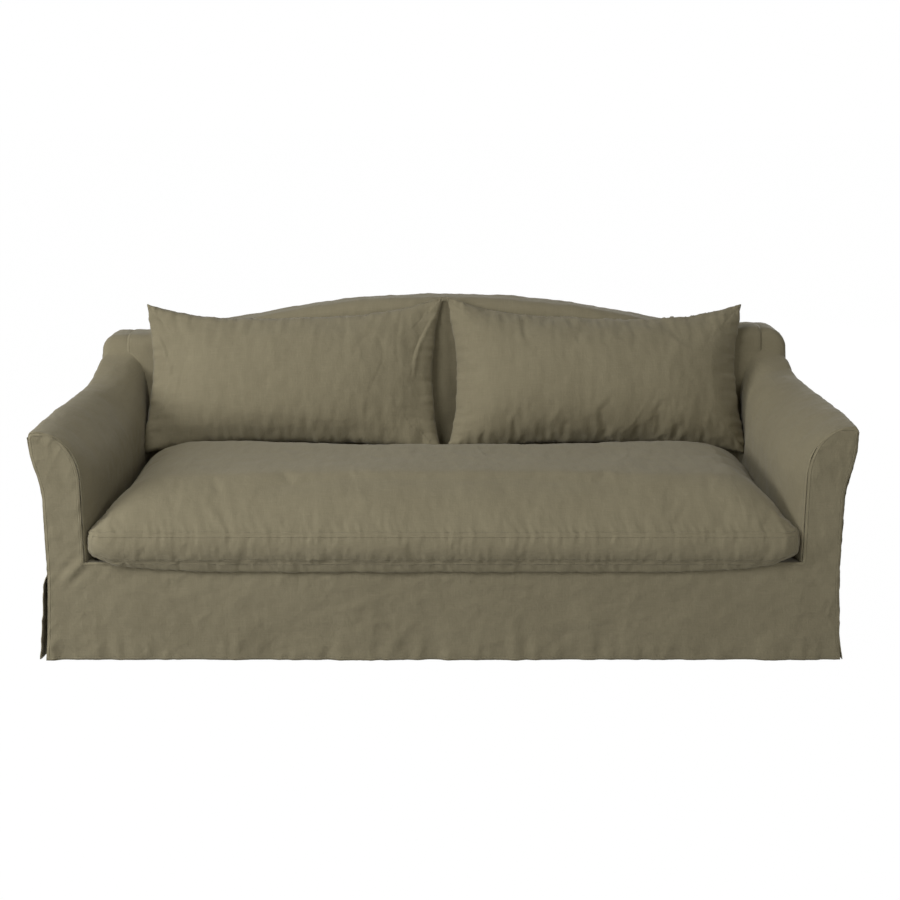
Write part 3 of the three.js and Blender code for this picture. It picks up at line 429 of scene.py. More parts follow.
def cloth_grid(name, columns, rows, place, drape=None, seams=None):
    """A grid primitive, laid by place(u, v) and raised along its own normals by drape.

    seams(points) gives the distance to the nearest seam where the grid's own border isn't it.
    """
    bpy.ops.object.select_all(action="DESELECT")
    bpy.ops.mesh.primitive_grid_add(x_subdivisions=columns, y_subdivisions=rows, size=1)
    panel = bpy.context.object
    panel.name = name
    panel.data.name = name
    mesh = panel.data
    start = np.empty(len(mesh.vertices) * 3)
    mesh.vertices.foreach_get("co", start)
    start = start.reshape(-1, 3)
    column = np.rint((start[:, 0] + 0.5) * columns).astype(int)
    row = np.rint((start[:, 1] + 0.5) * rows).astype(int)
    u, v = np.meshgrid(np.linspace(0, 1, columns + 1), np.linspace(0, 1, rows + 1))
    points = np.stack(place(u, v), axis=-1)
    across = lengths_along(points, 1)
    along = lengths_along(points, 0)
    edge = np.minimum(np.minimum(across, across[:, -1:] - across), np.minimum(along, along[-1:] - along))
    run = np.where(np.minimum(across, across[:, -1:] - across) < np.minimum(along, along[-1:] - along),
                   along, across)
    if seams is not None:
        edge, run = seams(points)
    if drape is not None:
        points = points + grid_normals(points) * drape(points, edge, run, u, v)[..., None]
    points = points + np.array([0, FRONT, 0])
    mesh.vertices.foreach_set("co", points[row, column].ravel())
    cut = np.stack([across - across[:, -1:] / 2, along], axis=-1)[row, column]
    corner = np.empty(len(mesh.loops), dtype=int)
    mesh.loops.foreach_get("vertex_index", corner)
    mesh.uv_layers[0].name = "cloth"
    mesh.uv_layers[0].data.foreach_set("uv", cut[corner].ravel())
    for label, values in (("edge", edge), ("run", run)):
        attribute = mesh.attributes.new(label, "FLOAT", "POINT")
        attribute.data.foreach_set("value", values[row, column])
    mesh.update()
    panel["cut_width"] = float(across[:, -1].max())
    panel["cut_length"] = float(along[-1].max())
    return panel


def finish_panel(panel, node, material=None, extra=()):
    """Gives a laid panel its thickness and finish, and its place on the sofa."""
    width, length = panel["cut_width"], panel["cut_length"]
    bpy.ops.object.select_all(action="DESELECT")
    panel.select_set(True)
    bpy.context.view_layer.objects.active = panel
    thickness = panel.modifiers.new("thickness", "SOLIDIFY")
    thickness.thickness = CLOTH_THICKNESS
    thickness.offset = -1
    bpy.ops.object.modifier_apply(modifier="thickness")
    bpy.ops.object.shade_smooth()
    panel.data.materials.clear()
    panel.data.materials.append(material or linen)
    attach(panel, "sofa_body")
    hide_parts(node, *extra)
    print(panel.name, "cut", round(width, 2), "x", round(length, 2), "m,",
          len(panel.data.polygons), "faces")
    return panel


def ordinary_drape(seed, ease=CLOTH_EASE):
    def drape(points, edge, run, u, v):
        return kept_out(ease + crumples(points, seed)) + seam_pull(edge, run, seed + 5)
    return drape


# %% [markdown]
# ## Arms
# Each arm has two panels. The inside one comes up from the deck, over the round top and ends in a
# seam along the arm's outer edge. The outside one hangs from that seam to the floor.

# %% Inside arm panels
ARM_COLUMNS = 132
ARM_ROWS = 78
SIDE_SHARE = 0.45
CREST_SHARE = 0.92


def arm_columns(u):
    """More columns at the front seam and where the arm sweeps up."""
    return np.interp(u, [0, 0.12, 0.5, 0.9, 1], [0, 0.055, 0.5, 0.925, 1])


def inside_arm_place(side):
    def place(u, v):
        depth = mix(0.0008, DEPTH - 0.003, arm_columns(u))
        top, crest, width, tall, fullness = arm_section(depth, side)
        edge = arm_edge(depth, side)
        rise = np.clip(v / SIDE_SHARE, 0, 1)
        turn = np.clip((v - SIDE_SHARE) / (CREST_SHARE - SIDE_SHARE), 0, 1) * math.pi / 2
        fall = np.clip((v - CREST_SHARE) / (1 - CREST_SHARE), 0, 1) * math.pi / 2
        height = mix(DECK - 0.004, top - tall, rise) + tall * np.sin(turn) ** (2 / fullness)
        height = height - edge * (1 - np.cos(fall))
        out = crest - width * np.cos(turn) ** (2 / fullness) + edge * np.sin(fall)
        return side * out, depth, height
    return place


def facing_in(place, side):
    """The grid's columns run so that its front looks at the seat."""
    return (lambda u, v: place(1 - u, v)) if side > 0 else place


def add_inside_arm(side, name):
    laid = facing_in(inside_arm_place(side), side)
    panel = cloth_grid(f"{name}_inside_arm_cloth", ARM_COLUMNS, ARM_ROWS, laid, ordinary_drape(side * 3 + 20))
    return finish_panel(panel, f"{name}_inside_arm_panel")


# %% [markdown]
# At the front corners the skirt is slit. The outside panel kicks out a little there, and a folded
# strip of cloth behind it closes the slit.

# %% Outside arm panels
SLIT_TOP = 0.252
SLIT_KICK = {1: -0.0005, -1: 0.0135}


def slit_kick(side, height):
    """How far the side panel stands off at the slit."""
    below = np.clip(SLIT_TOP - height, 0, SLIT_TOP)
    return SLIT_KICK[side] * (1 - np.exp(-below / 0.016)) * (0.8 + 0.35 * below / SLIT_TOP)


def outside_arm_place(side):
    def place(u, v):
        depth = mix(0.0012, DEPTH - 0.003, arm_columns(u))
        height = mix(HEM, arm_top(depth, side) - arm_edge(depth, side), v)
        out = outer_face(depth, height) + slit_kick(side, height) * np.exp(-depth / 0.11)
        to_back = REAR_FLARE * skirt_share(height) ** 1.5 * smooth((depth - 0.75) / 0.17)
        return side * out, depth + to_back, height
    return place


def skirt_drape(seed, ease=CLOTH_EASE):
    """Crumples above, soft hanging folds and a puckered hem below."""
    def drape(points, edge, run, u, v):
        loose = skirt_share(points[..., 2])
        fold = points * np.array([1, 1, 0.12])
        folds = wander(fold, 0.19, seed) * 0.0065 + wander(fold, 0.075, seed + 1) * 0.0030
        low = points[..., 2] - HEM
        tall = 0.045 + 0.05 * np.clip(wander(points * np.array([1, 1, 0]), 0.13, seed + 3) + 0.4, 0, 1)
        line = points * np.array([1, 1, 0.30])
        puckers = wander(line, 0.030, seed + 2) * 0.0062 * np.exp(-((low / tall) ** 2))
        puckers = puckers + wander(line, 0.014, seed + 4) * 0.0018 * np.exp(-low / 0.03)
        creased = ridges(points * np.array([1, 1, 0.7]), 0.05, seed + 6) * 0.0016
        seams = seam_pull(edge, run, seed + 5) * np.clip(low / 0.03, 0, 1)
        return kept_out(ease + crumples(points, seed) + folds * loose ** 1.4 + puckers + creased) + seams
    return drape


def add_outside_arm(side, name):
    place = outside_arm_place(side)
    if side > 0:
        laid = lambda u, v: place(u, v)
    else:
        laid = lambda u, v: place(1 - u, v)
    panel = cloth_grid(f"{name}_outside_arm_cloth", ARM_COLUMNS, 84, laid, skirt_drape(side * 3 + 40))
    return finish_panel(panel, f"{name}_outside_arm_panel")


# %% [markdown]
# ## The back
# The inside back panel runs from the deck up over the roll to a seam along the rear edge. Its ends
# turn over the shoulders and tuck in behind the arms. The outside back hangs from that seam.

# %% Back panels
BACK_COLUMNS = 260
END_COLUMNS_SHARE = 0.035


def rear_columns(u):
    """Where a column crosses the top, and how far the shoulder's turn lowers it there."""
    middle = np.clip((u - END_COLUMNS_SHARE) / (1 - 2 * END_COLUMNS_SHARE), 0, 1) * 2 - 1
    left = np.clip(1 - u / END_COLUMNS_SHARE, 0, 1)
    right = np.clip(1 - (1 - u) / END_COLUMNS_SHARE, 0, 1)
    turn = (right + left) * math.pi / 2
    radius = np.where(middle > 0, SHOULDER_RADIUS[1], SHOULDER_RADIUS[-1])
    side = middle * (HALF_REAR - radius) + ((right > 0) * 1.0 - (left > 0)) * radius * np.sin(turn)
    return side, radius, radius * (1 - np.cos(turn))


BACK_SEAM = 1.000


def inside_back_place(u, v):
    share = 2 * u - 1
    side = share * BACK_SEAM
    top = back_top(side)
    start = top - BACK_ROLL_RADIUS
    rise = np.clip(v / 0.80, 0, 1)
    turn = np.clip((v - 0.80) / 0.09, 0, 1) * math.pi / 2
    level = np.clip((v - 0.89) / 0.09, 0, 1)
    fall = np.clip((v - 0.98) / 0.02, 0, 1) * math.pi / 2
    height = mix(DECK - 0.004, start, rise) + BACK_ROLL_RADIUS * np.sin(turn)
    height = height - BACK_REAR_RADIUS * (1 - np.cos(fall))
    centre = back_face(start) + BACK_ROLL_RADIUS
    rear = DEPTH - BACK_REAR_RADIUS
    depth = np.where(v <= 0.80, back_face(height), centre - BACK_ROLL_RADIUS * np.cos(turn))
    depth = np.where(v > 0.89, mix(centre, rear, level) + BACK_REAR_RADIUS * np.sin(fall), depth)
    over_arm = np.clip((np.abs(share) - 0.93) / 0.04, 0, 1)
    height = height + 0.0035 * np.clip((v - 0.76) / 0.09, 0, 1) * over_arm
    depth = depth - 0.0020 * np.clip((v - 0.66) / 0.09, 0, 1) * over_arm
    beside = beside_arm(share, depth, height)
    reach = np.minimum((beside + 0.010) / BACK_SEAM, 1)
    return side * reach, depth, height


def outside_back_place(u, v):
    side, radius, drop = rear_columns(1 - u)
    level = np.sign(side) * np.minimum(np.abs(side), HALF_REAR - radius)
    top = back_top(level) - drop - BACK_REAR_RADIUS
    height = mix(HEM, top, v)
    flare = skirt_share(height) ** 1.5
    spread = outer_face(DEPTH, height) / HALF_REAR
    return side * spread, DEPTH + REAR_FLARE * flare, height


inside_back = cloth_grid("inside_back_cloth", BACK_COLUMNS, 84, inside_back_place, ordinary_drape(60))
finish_panel(inside_back, "inside_back_panel")
outside_back = cloth_grid("outside_back_cloth", BACK_COLUMNS, 96, outside_back_place, skirt_drape(70))
finish_panel(outside_back, "outside_back_panel")
arm_cloths = [add(side, name) for side, name in ((1, "right"), (-1, "left"))
              for add in (add_inside_arm, add_outside_arm)]

# %% [markdown]
# The padding under these cloths is laid by the same curves, a few millimetres further in, so it
# follows them where the shoulders and arms differ from side to side.

# %% Padding under the cloth
PAD_DEPTH = 0.0050
PAD_THICKNESS = 0.016


def add_pad(name, place, columns, rows, node):
    def sunk(points, edge, run, u, v):
        return np.full_like(edge, -PAD_DEPTH)
    pad = cloth_grid(name, columns, rows, place, sunk)
    bpy.ops.object.select_all(action="DESELECT")
    pad.select_set(True)
    bpy.context.view_layer.objects.active = pad
    thickness = pad.modifiers.new("thickness", "SOLIDIFY")
    thickness.thickness = PAD_THICKNESS
    thickness.offset = -1
    bpy.ops.object.modifier_apply(modifier="thickness")
    bpy.ops.object.shade_smooth()
    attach(pad, "sofa_body")
    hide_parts(node)
    print(pad.name, len(pad.data.polygons), "faces")
    return pad


def narrowed(place, low, high):
    """The same surface without the strips next to its first and last rows."""
    return lambda u, v: place(mix(0.006, 0.994, u), mix(low, high, v))


right_arm = facing_in(inside_arm_place(1), 1)
left_arm = facing_in(inside_arm_place(-1), -1)
pads = [
    add_pad("right_arm_padding", narrowed(right_arm, 0.03, 0.985), 84, 52, "right_arm_pad"),
    add_pad("left_arm_padding", narrowed(left_arm, 0.03, 0.985), 84, 52, "left_arm_pad"),
    add_pad("back_padding", narrowed(inside_back_place, 0.03, 0.975), 120, 52, "back_pad"),
]

# %% [markdown]
# ## The front panel
# The two arm facings and the apron between them are one U of cloth. It is a full rectangle of grid
# first, whose columns bunch up at the arms, and then the cells above the deck between the arms are
# taken out.

# %% Front panel
FACING_COLUMNS = 34
APRON_COLUMNS = 300
FRONT_COLUMNS = 2 * FACING_COLUMNS + APRON_COLUMNS
APRON_ROWS = 46
FACING_ROWS = 62
FRONT_ROWS = APRON_ROWS + FACING_ROWS
FACING_TOP = {side: float(arm_top(0.0, side)) for side in (-1, 1)}
SEAM_INNER = HALF_WIDTH - ARM_THICKNESS
SEAM_TUCK = 0.0008


def rounded_in(height, top, radius):
    up = np.clip(height - (top - radius), 0, radius)
    return radius - np.sqrt(np.maximum(radius ** 2 - up ** 2, 0))


def front_place(u, v):
    column = np.abs(u - 0.5) * 2 * (FRONT_COLUMNS / 2)
    from_middle = np.clip(column / (APRON_COLUMNS / 2), 0, 1)
    in_facing = np.clip((column - APRON_COLUMNS / 2) / FACING_COLUMNS, 0, 1)
    row = v * FRONT_ROWS
    low = np.clip(row / APRON_ROWS, 0, 1)
    high = np.clip((row - APRON_ROWS) / FACING_ROWS, 0, 1)
    high = 1 - (1 - high) ** 1.7
    top = np.where(u > 0.5, FACING_TOP[1], FACING_TOP[-1]) - SEAM_TUCK
    height = mix(HEM, DECK, low) + (top - DECK) * high
    front = np.zeros_like(height)
    inner = np.where(height > DECK, beside_arm(u - 0.5, front, height), SEAM_INNER) + SEAM_TUCK
    outer = outer_face(front, height) - rounded_in(height, top, ARM_OUTER_RADIUS)
    outer = outer - SEAM_TUCK * np.clip((height - SLIT_TOP) / 0.02, 0, 1)
    side = inner * from_middle + (outer - inner) * (in_facing - 0.12 * np.sin(2 * math.pi * in_facing))
    return np.sign(u - 0.5) * side, front, height


def front_seams(points):
    """Distances to the seams with the arms, to the hem and to the apron's top."""
    side = np.abs(points[..., 0])
    height = points[..., 2]
    front = np.zeros_like(height)
    top = np.where(points[..., 0] > 0, FACING_TOP[1], FACING_TOP[-1]) - SEAM_TUCK
    outer = outer_face(front, height) - SEAM_TUCK - rounded_in(height, top, ARM_OUTER_RADIUS)
    inner = beside_arm(points[..., 0], front, height) + SEAM_TUCK
    above = np.clip((inner - side) / 0.01, 0, 1)
    gaps = [
        np.abs(outer - side),
        np.where(height > DECK, np.abs(side - inner), np.hypot(DECK - height, side - inner)),
        np.abs(top - height),
        height - HEM,
        np.where(above > 0, np.abs(DECK - height), 1.0),
    ]
    return np.minimum.reduce(gaps), height + side


def front_drape(points, edge, run, u, v):
    side = np.abs(points[..., 0])
    height = points[..., 2]
    hanging = skirt_drape(80)(points, np.full_like(edge, 1.0), run, u, v)
    tug = np.exp(-(((side - 1.005) / 0.045) ** 2) - (((height - 0.275) / 0.040) ** 2))
    slant = points * np.array([1.0, 1, 0.6]) + points[..., 2:3] * np.array([0.8, 0, 0]) * np.sign(points[..., :1])
    crease = (wander(slant, 0.030, 91) * 0.007 + 0.002) * tug
    fold_in = seam_pull(edge, run, 85)
    return hanging + fold_in * np.clip((height - HEM) / 0.03, 0, 1) + crease


front_cloth = cloth_grid("front_cloth", FRONT_COLUMNS, FRONT_ROWS, front_place, front_drape, front_seams)

# %% Taking out the cells between the arms
bpy.ops.object.mode_set(mode="EDIT")
bpy.ops.mesh.select_mode(type="FACE")
bpy.ops.mesh.select_all(action="DESELECT")
bpy.ops.object.mode_set(mode="OBJECT")
for face in front_cloth.data.polygons:
    row, column = divmod(face.index, FRONT_COLUMNS)
    face.select = row >= APRON_ROWS and FACING_COLUMNS <= column < FACING_COLUMNS + APRON_COLUMNS
bpy.ops.object.mode_set(mode="EDIT")
bpy.ops.mesh.delete(type="FACE")
bpy.ops.object.mode_set(mode="OBJECT")
front_cloth["cut_width"] = 2 * (HALF_WIDTH + 0.027)
front_cloth["cut_length"] = FACING_TOP[1] - HEM
finish_panel(front_cloth, "front_panel")

# %% [markdown]
# ## Deck and slit backings
# The deck is the cloth under the seat cushion. The backing of each slit is a strip that lies behind the front panel
# and turns the corner behind the side panel. Both wear a darker copy of the linen, which is painted shade.

# %% Deck
def deck_place(u, v):
    return mix(-0.984, 0.984, u), mix(0.002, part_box("deck_panel")[1][1] - FRONT, v), np.full_like(u, DECK - 0.001)


deck_cloth = cloth_grid("deck_cloth", 160, 60, deck_place, ordinary_drape(100, 0.0))
# The deck wears the darker linen: painted shade under the seat cushion.
finish_panel(deck_cloth, "deck_panel", material=shaded_linen)

# %% Slit backings
BACKING_REACH = 0.11
BACKING_CORNER = 0.45


def backing_place(side):
    def place(u, v):
        height = mix(HEM + 0.002, SLIT_TOP - 0.004, v)
        kick = slit_kick(side, height) * 0.5
        corner_x = outer_face(0.0, height) - 0.0075 + kick
        front = np.clip(u / BACKING_CORNER, 0, 1)
        behind = np.clip((u - BACKING_CORNER) / (1 - BACKING_CORNER), 0, 1)
        out = mix(corner_x - BACKING_REACH, corner_x, front) - kick * behind
        depth = 0.0065 + behind * BACKING_REACH
        return side * out, depth, height
    return place


def add_backing(side, name):
    place = backing_place(side)
    laid = (lambda u, v: place(u, v)) if side > 0 else (lambda u, v: place(1 - u, v))
    panel = cloth_grid(f"{name}_slit_backing", 48, 40, laid)
    # The backing wears the darker linen: painted shade behind the slit.
    return finish_panel(panel, f"{name}_pleat_backing", material=shaded_linen)


backings = [add_backing(side, name) for side, name in ((1, "right"), (-1, "left"))]

# %% [markdown]
# ## Blowing up a cushion
# A cushion is a sewn envelope with a filling that pushes outwards. The envelope is laid a little
# slack, the cloth simulation inflates it, and no point may travel further than the filling would
# let it. Where a neighbour is in the way, the cloth is pressed flat against it.

# %% Sewing and inflating
def sew(name, parts):
    """Joins grids into one closed envelope, like sewing their edges together."""
    bpy.ops.object.select_all(action="DESELECT")
    for part in parts:
        part.select_set(True)
    bpy.context.view_layer.objects.active = parts[0]
    bpy.ops.object.join()
    envelope = bpy.context.object
    envelope.name = name
    envelope.data.name = name
    bpy.ops.object.mode_set(mode="EDIT")
    bpy.ops.mesh.select_all(action="SELECT")
    bpy.ops.mesh.remove_doubles(threshold=0.0004)
    bpy.ops.mesh.normals_make_consistent(inside=False)
    bpy.ops.object.mode_set(mode="OBJECT")
    return envelope


def read_points(mesh):
    values = np.empty(len(mesh.vertices) * 3)
    mesh.vertices.foreach_get("co", values)
    return values.reshape(-1, 3)


def write_points(mesh, points):
    mesh.vertices.foreach_set("co", points.ravel())
    mesh.update()


def read_values(mesh, label):
    values = np.empty(len(mesh.vertices))
    mesh.attributes[label].data.foreach_get("value", values)
    return values


def inflate(envelope, pressure, slack, travel, frames, seam_hold):
    """Cloth simulation with an inner pressure; each point moves at most by travel, less near a seam."""
    start = read_points(envelope.data)
    pins = envelope.vertex_groups.new(name="seams")
    held = read_values(envelope.data, "edge") < 0.004
    held |= (start[:, 1] < FRONT + 0.012) & (start[:, 2] < DECK + 0.004)
    for index in np.nonzero(held)[0]:
        pins.add([int(index)], seam_hold, "REPLACE")
    bpy.context.view_layer.objects.active = envelope
    modifier = envelope.modifiers.new("cloth", "CLOTH")
    cloth = modifier.settings
    cloth.quality = 6
    cloth.mass = 0.25
    cloth.tension_stiffness = 18
    cloth.compression_stiffness = 18
    cloth.shear_stiffness = 6
    cloth.bending_stiffness = 0.6
    cloth.air_damping = 2.0
    cloth.shrink_min = -slack
    cloth.use_pressure = True
    cloth.uniform_pressure_force = pressure
    cloth.effector_weights.gravity = 0
    cloth.vertex_group_mass = "seams"
    cloth.pin_stiffness = 1.0
    modifier.collision_settings.use_collision = False
    modifier.point_cache.frame_end = frames
    scene = bpy.context.scene
    for step in range(1, frames + 1):
        scene.frame_set(step)
    bpy.ops.object.modifier_apply(modifier="cloth")
    scene.frame_set(1)
    moved = read_points(envelope.data) - start
    far = np.linalg.norm(moved, axis=1, keepdims=True)
    cap = travel * mix(0.12, 1.0, smooth(read_values(envelope.data, "edge") / 0.075))[:, None]
    write_points(envelope.data, start + moved * np.minimum(1, cap / np.maximum(far, 1e-9)))
    envelope.vertex_groups.clear()
    print(envelope.name, "moved by up to", round(float(far.max()) * 1000), "mm before the cap")


def refine(envelope):
    bpy.ops.object.select_all(action="DESELECT")
    envelope.select_set(True)
    bpy.context.view_layer.objects.active = envelope
    finer = envelope.modifiers.new("finer", "SUBSURF")
    finer.levels = 1
    finer.render_levels = 1
    bpy.ops.object.modifier_apply(modifier="finer")
    bpy.ops.object.shade_smooth()


def raise_along_normals(mesh, heights):
    normals = np.empty(len(mesh.vertices) * 3)
    mesh.vertex_normals.foreach_get("vector", normals)
    write_points(mesh, read_points(mesh) + normals.reshape(-1, 3) * heights[:, None])


# %% [markdown]
# ## The seat cushion
# One long box cushion: a crowned top, a border and a bottom, with seams between them. It fills the
# seat from arm to arm, overhangs the front a little, and its bottom sags over the front edge.

# %% Seat cushion
CUSHION_FRONT = -0.020
CUSHION_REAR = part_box("seat_cushion")[1][1] - FRONT
CUSHION_MIDDLE = (CUSHION_FRONT + CUSHION_REAR) / 2
CUSHION_HALF_DEPTH = (CUSHION_REAR - CUSHION_FRONT) / 2
CUSHION_COLUMNS = 200
CUSHION_ROWS = 86
BORDER_ROWS = 9
FRONT_CORNER = 0.062
REAR_CORNER = 0.040
BOTTOM_SEAM = DECK + 0.0073
CROWN = 0.098
LIP = 0.031


def cushion_half(depth):
    return inner_face(np.maximum(depth, 0)) - 0.006


def top_seam(depth):
    return BOTTOM_SEAM + 0.078 + 0.018 * smooth((depth - CUSHION_FRONT) / 0.17)


def corner_rise(side, depth):
    """The cushion's bottom curls up at its front corners."""
    return 0.015 * smooth((np.abs(side) - 0.885) / 0.075) * (1 - smooth((depth - CUSHION_FRONT) / 0.11))


def cushion_plan(s, t):
    """A square from -1 to 1 as the cushion seen from above, with round corners."""
    across = np.abs(s)
    radius = np.where(t < 0, FRONT_CORNER, REAR_CORNER)
    depth = CUSHION_MIDDLE + CUSHION_HALF_DEPTH * t
    half = cushion_half(depth)
    a = np.clip((across * half - (half - radius)) / radius, 0, 1)
    b = np.clip((np.abs(t) * CUSHION_HALF_DEPTH - (CUSHION_HALF_DEPTH - radius)) / radius, 0, 1)
    pulled_a = a * np.sqrt(1 - b * b / 2)
    pulled_b = b * np.sqrt(1 - a * a / 2)
    side = np.where(a > 0, half - radius + radius * pulled_a, across * half)
    away = np.where(b > 0, CUSHION_HALF_DEPTH - radius + radius * pulled_b, np.abs(t) * CUSHION_HALF_DEPTH)
    return np.sign(s) * side, CUSHION_MIDDLE + np.sign(t) * away


def crown_over(s, t):
    """The top's rise over a square from -1 to 1: none at its edges, where the seam runs."""
    return CROWN * (1 - np.abs(s) ** 18) * (1 - np.abs(t) ** np.where(t > 0, 7, 5))


def cushion_crown(side, depth):
    across = np.clip(np.abs(side) / cushion_half(depth), 0, 1)
    return crown_over(across, np.clip((depth - CUSHION_MIDDLE) / CUSHION_HALF_DEPTH, -1, 1))


def row_spread(v):
    """More rows near the front edge, where the cloth puckers and the bottom rolls over."""
    return -1 + 2 * np.interp(v, [0, 0.16, 0.30, 0.88, 1], [0, 0.040, 0.115, 0.93, 1])


def cushion_top_place(u, v):
    s, t = 2 * u - 1, row_spread(v)
    side, depth = cushion_plan(s, t)
    return side, depth, top_seam(depth) + crown_over(s, t)


def cushion_bottom_place(u, v):
    s, t = 1 - 2 * u, row_spread(v)
    side, depth = cushion_plan(s, t)
    from_front = (1 + t) * CUSHION_HALF_DEPTH
    from_side = (1 - np.abs(s)) * cushion_half(depth)
    within = np.minimum(np.minimum(from_front, (1 - t) * CUSHION_HALF_DEPTH), from_side)
    into = np.clip(from_front / 0.0165, 0, 1)
    sag = np.sin(math.pi * np.minimum(into * 0.72, 1)) * (1 - np.clip((into - 0.9) / 0.1, 0, 1))
    ends = (1 - np.clip(np.abs(side) / 0.955, 0, 1) ** 7) * np.clip(from_side / 0.03, 0, 1)
    height = BOTTOM_SEAM - 0.0062 * np.clip(within / 0.03, 0, 1) - LIP * sag * ends
    return side, depth, height + corner_rise(side, depth)


def border_place(edge_point):
    """A strip that goes round the cushion from the bottom seam to the top seam."""
    def place(u, v):
        s, t = edge_point(u)
        side, depth = cushion_plan(s, t)
        low, high = BOTTOM_SEAM + corner_rise(side, depth), top_seam(depth)
        belly = 0.010 * np.sin(math.pi * v) ** 0.8
        out_side = np.abs(s) ** 12 * np.sign(s)
        out_depth = np.abs(t) ** 12 * np.sign(t)
        room = np.where(depth > 0.02, 0.3, 1.0)
        return side + belly * out_side * room * 0.4, depth + belly * out_depth, mix(low, high, v)
    return place


cushion_sides = [
    (CUSHION_COLUMNS, lambda u: (2 * u - 1, np.full_like(u, -1.0))),
    (CUSHION_ROWS, lambda u: (np.full_like(u, 1.0), row_spread(u))),
    (CUSHION_COLUMNS, lambda u: (1 - 2 * u, np.full_like(u, 1.0))),
    (CUSHION_ROWS, lambda u: (np.full_like(u, -1.0), row_spread(1 - u))),
]
parts = [
    cloth_grid("cushion_top", CUSHION_COLUMNS, CUSHION_ROWS, cushion_top_place),
    cloth_grid("cushion_bottom", CUSHION_COLUMNS, CUSHION_ROWS, cushion_bottom_place),
]
for cells, edge_point in cushion_sides:
    parts.append(cloth_grid("cushion_border", cells, BORDER_ROWS, border_place(edge_point)))
seat_cushion = sew("seat_cushion_cover", parts)
print("seat cushion:", len(seat_cushion.data.polygons), "faces")

# %% Filling the seat cushion
inflate(seat_cushion, pressure=3.0, slack=0.006, travel=0.010, frames=18, seam_hold=1.0)
refine(seat_cushion)


def pucker(envelope, seed, depth, reach, size, creased):
    """Draws the cloth into its seams and lets it pucker beside them."""
    mesh = envelope.data
    edge = read_values(mesh, "edge")
    run = read_values(mesh, "run")
    points = read_points(mesh)
    line = np.stack([run, edge * 0.22, points[:, 2] * 0.2], axis=-1)
    fine = wander(line, size, seed) + 0.6 * wander(line, size * 2.3, seed + 1)
    groove = -0.0010 * np.exp(-((edge / 0.0034) ** 2)) + 0.0004 * np.exp(-(((edge - 0.008) / 0.004) ** 2))
    heights = fine * depth * np.exp(-edge / reach) * np.clip(edge / 0.004, 0.3, 1) + groove
    hanging = points * np.array([1.0, 0.55, 0.45])
    raise_along_normals(mesh, heights + crumples(hanging, seed + 3) * creased)


def clear_of_seat(points):
    """Keeps the seat cushion inside the arms, above the deck and in front of the back."""
    depth = points[:, 1] - FRONT
    limit = beside_arm(points[:, 0], np.maximum(depth, 0), points[:, 2]) - 0.0035
    points[:, 0] = np.clip(points[:, 0], -limit, limit)
    over_deck = depth > -0.003
    points[over_deck, 2] = np.maximum(points[over_deck, 2], DECK + 0.0015)
    points[:, 1] = np.minimum(points[:, 1], FRONT + back_face(points[:, 2]) - 0.004)
    return points


pucker(seat_cushion, 120, 0.0034, 0.040, 0.013, 0.9)
write_points(seat_cushion.data, clear_of_seat(read_points(seat_cushion.data)))
seat_cushion.data.materials.clear()
seat_cushion.data.materials.append(linen)
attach(seat_cushion, "seat_cushion")
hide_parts("seat_cushion")
print("seat cushion:", len(seat_cushion.data.polygons), "faces")

# %% [markdown]
# ## The back pillows
# Two knife-edged pillows: a front and a back sewn together with no border. The filling rounds the
# middle and leaves the four corners thin and pointed, so the edges between them draw in.

# %% Pillow shape
PILLOW_GAP = 0.0035
PILLOW_HALF = (float(inner_face(DEPTH - 0.207)) + 0.021 - PILLOW_GAP) / 2
PILLOW_TALL = 0.240
PILLOW_TAPER = 0.020
PILLOW_CORNER_RISE = 0.026
PILLOW_LEAN = math.radians(20.4)
PILLOW_HEIGHT = DECK + 0.360
PILLOW_REAR = 0.207
PILLOW_COLUMNS = 112
PILLOW_ROWS = 62


def pillow_place(side, bulge, lift):
    def place(u, v):
        across = np.sin((u - 0.5) * math.pi) * 0.35 + (2 * u - 1) * 0.65
        up = np.sin((v - 0.5) * math.pi) * 0.35 + (2 * v - 1) * 0.65
        inward = side * across
        high, outward = (1 + up) / 2, (1 + inward) / 2
        out = PILLOW_GAP + PILLOW_HALF + PILLOW_HALF * inward * (1 - 0.069 * (1 - up * up))
        out = out - PILLOW_TAPER * high * outward
        pull = np.where(up > 0, 0.215, 0.16)
        tall = PILLOW_TALL * up * (1 - pull * (1 - np.abs(across) ** 3.2))
        tall = tall + PILLOW_CORNER_RISE * (high * (1 - outward)) ** 2
        sunk = up + 0.05 * (1 - up * up)
        square = ((1 - across ** 4) * (1 - sunk ** 4)) ** 0.6
        rounded = ((1 - across ** 2) * (1 - sunk ** 2)) ** 0.55
        full = 0.25 * square + 0.75 * rounded
        thick = bulge * full
        depth = DEPTH - PILLOW_REAR + tall * math.sin(PILLOW_LEAN) + thick * math.cos(PILLOW_LEAN)
        height = PILLOW_HEIGHT + tall * math.cos(PILLOW_LEAN) - thick * math.sin(PILLOW_LEAN) + lift
        return side * out, depth, height
    return place


def clear_of_sofa(points):
    """Rests a pillow on the cushion's crown, against the back and beside the arm."""
    for _ in range(2):
        depth = points[:, 1] - FRONT
        crown = top_seam(depth) + cushion_crown(points[:, 0], depth) + 0.003
        inside = (depth < CUSHION_REAR)
        points[:, 2] = np.where(inside, np.maximum(points[:, 2], crown), points[:, 2])
        side = np.minimum(np.abs(points[:, 0]), beside_arm(points[:, 0], depth, points[:, 2]) - 0.004)
        points[:, 0] = np.sign(points[:, 0]) * side
        points[:, 1] = np.minimum(points[:, 1], FRONT + back_face(points[:, 2]) - 0.004)
    return points


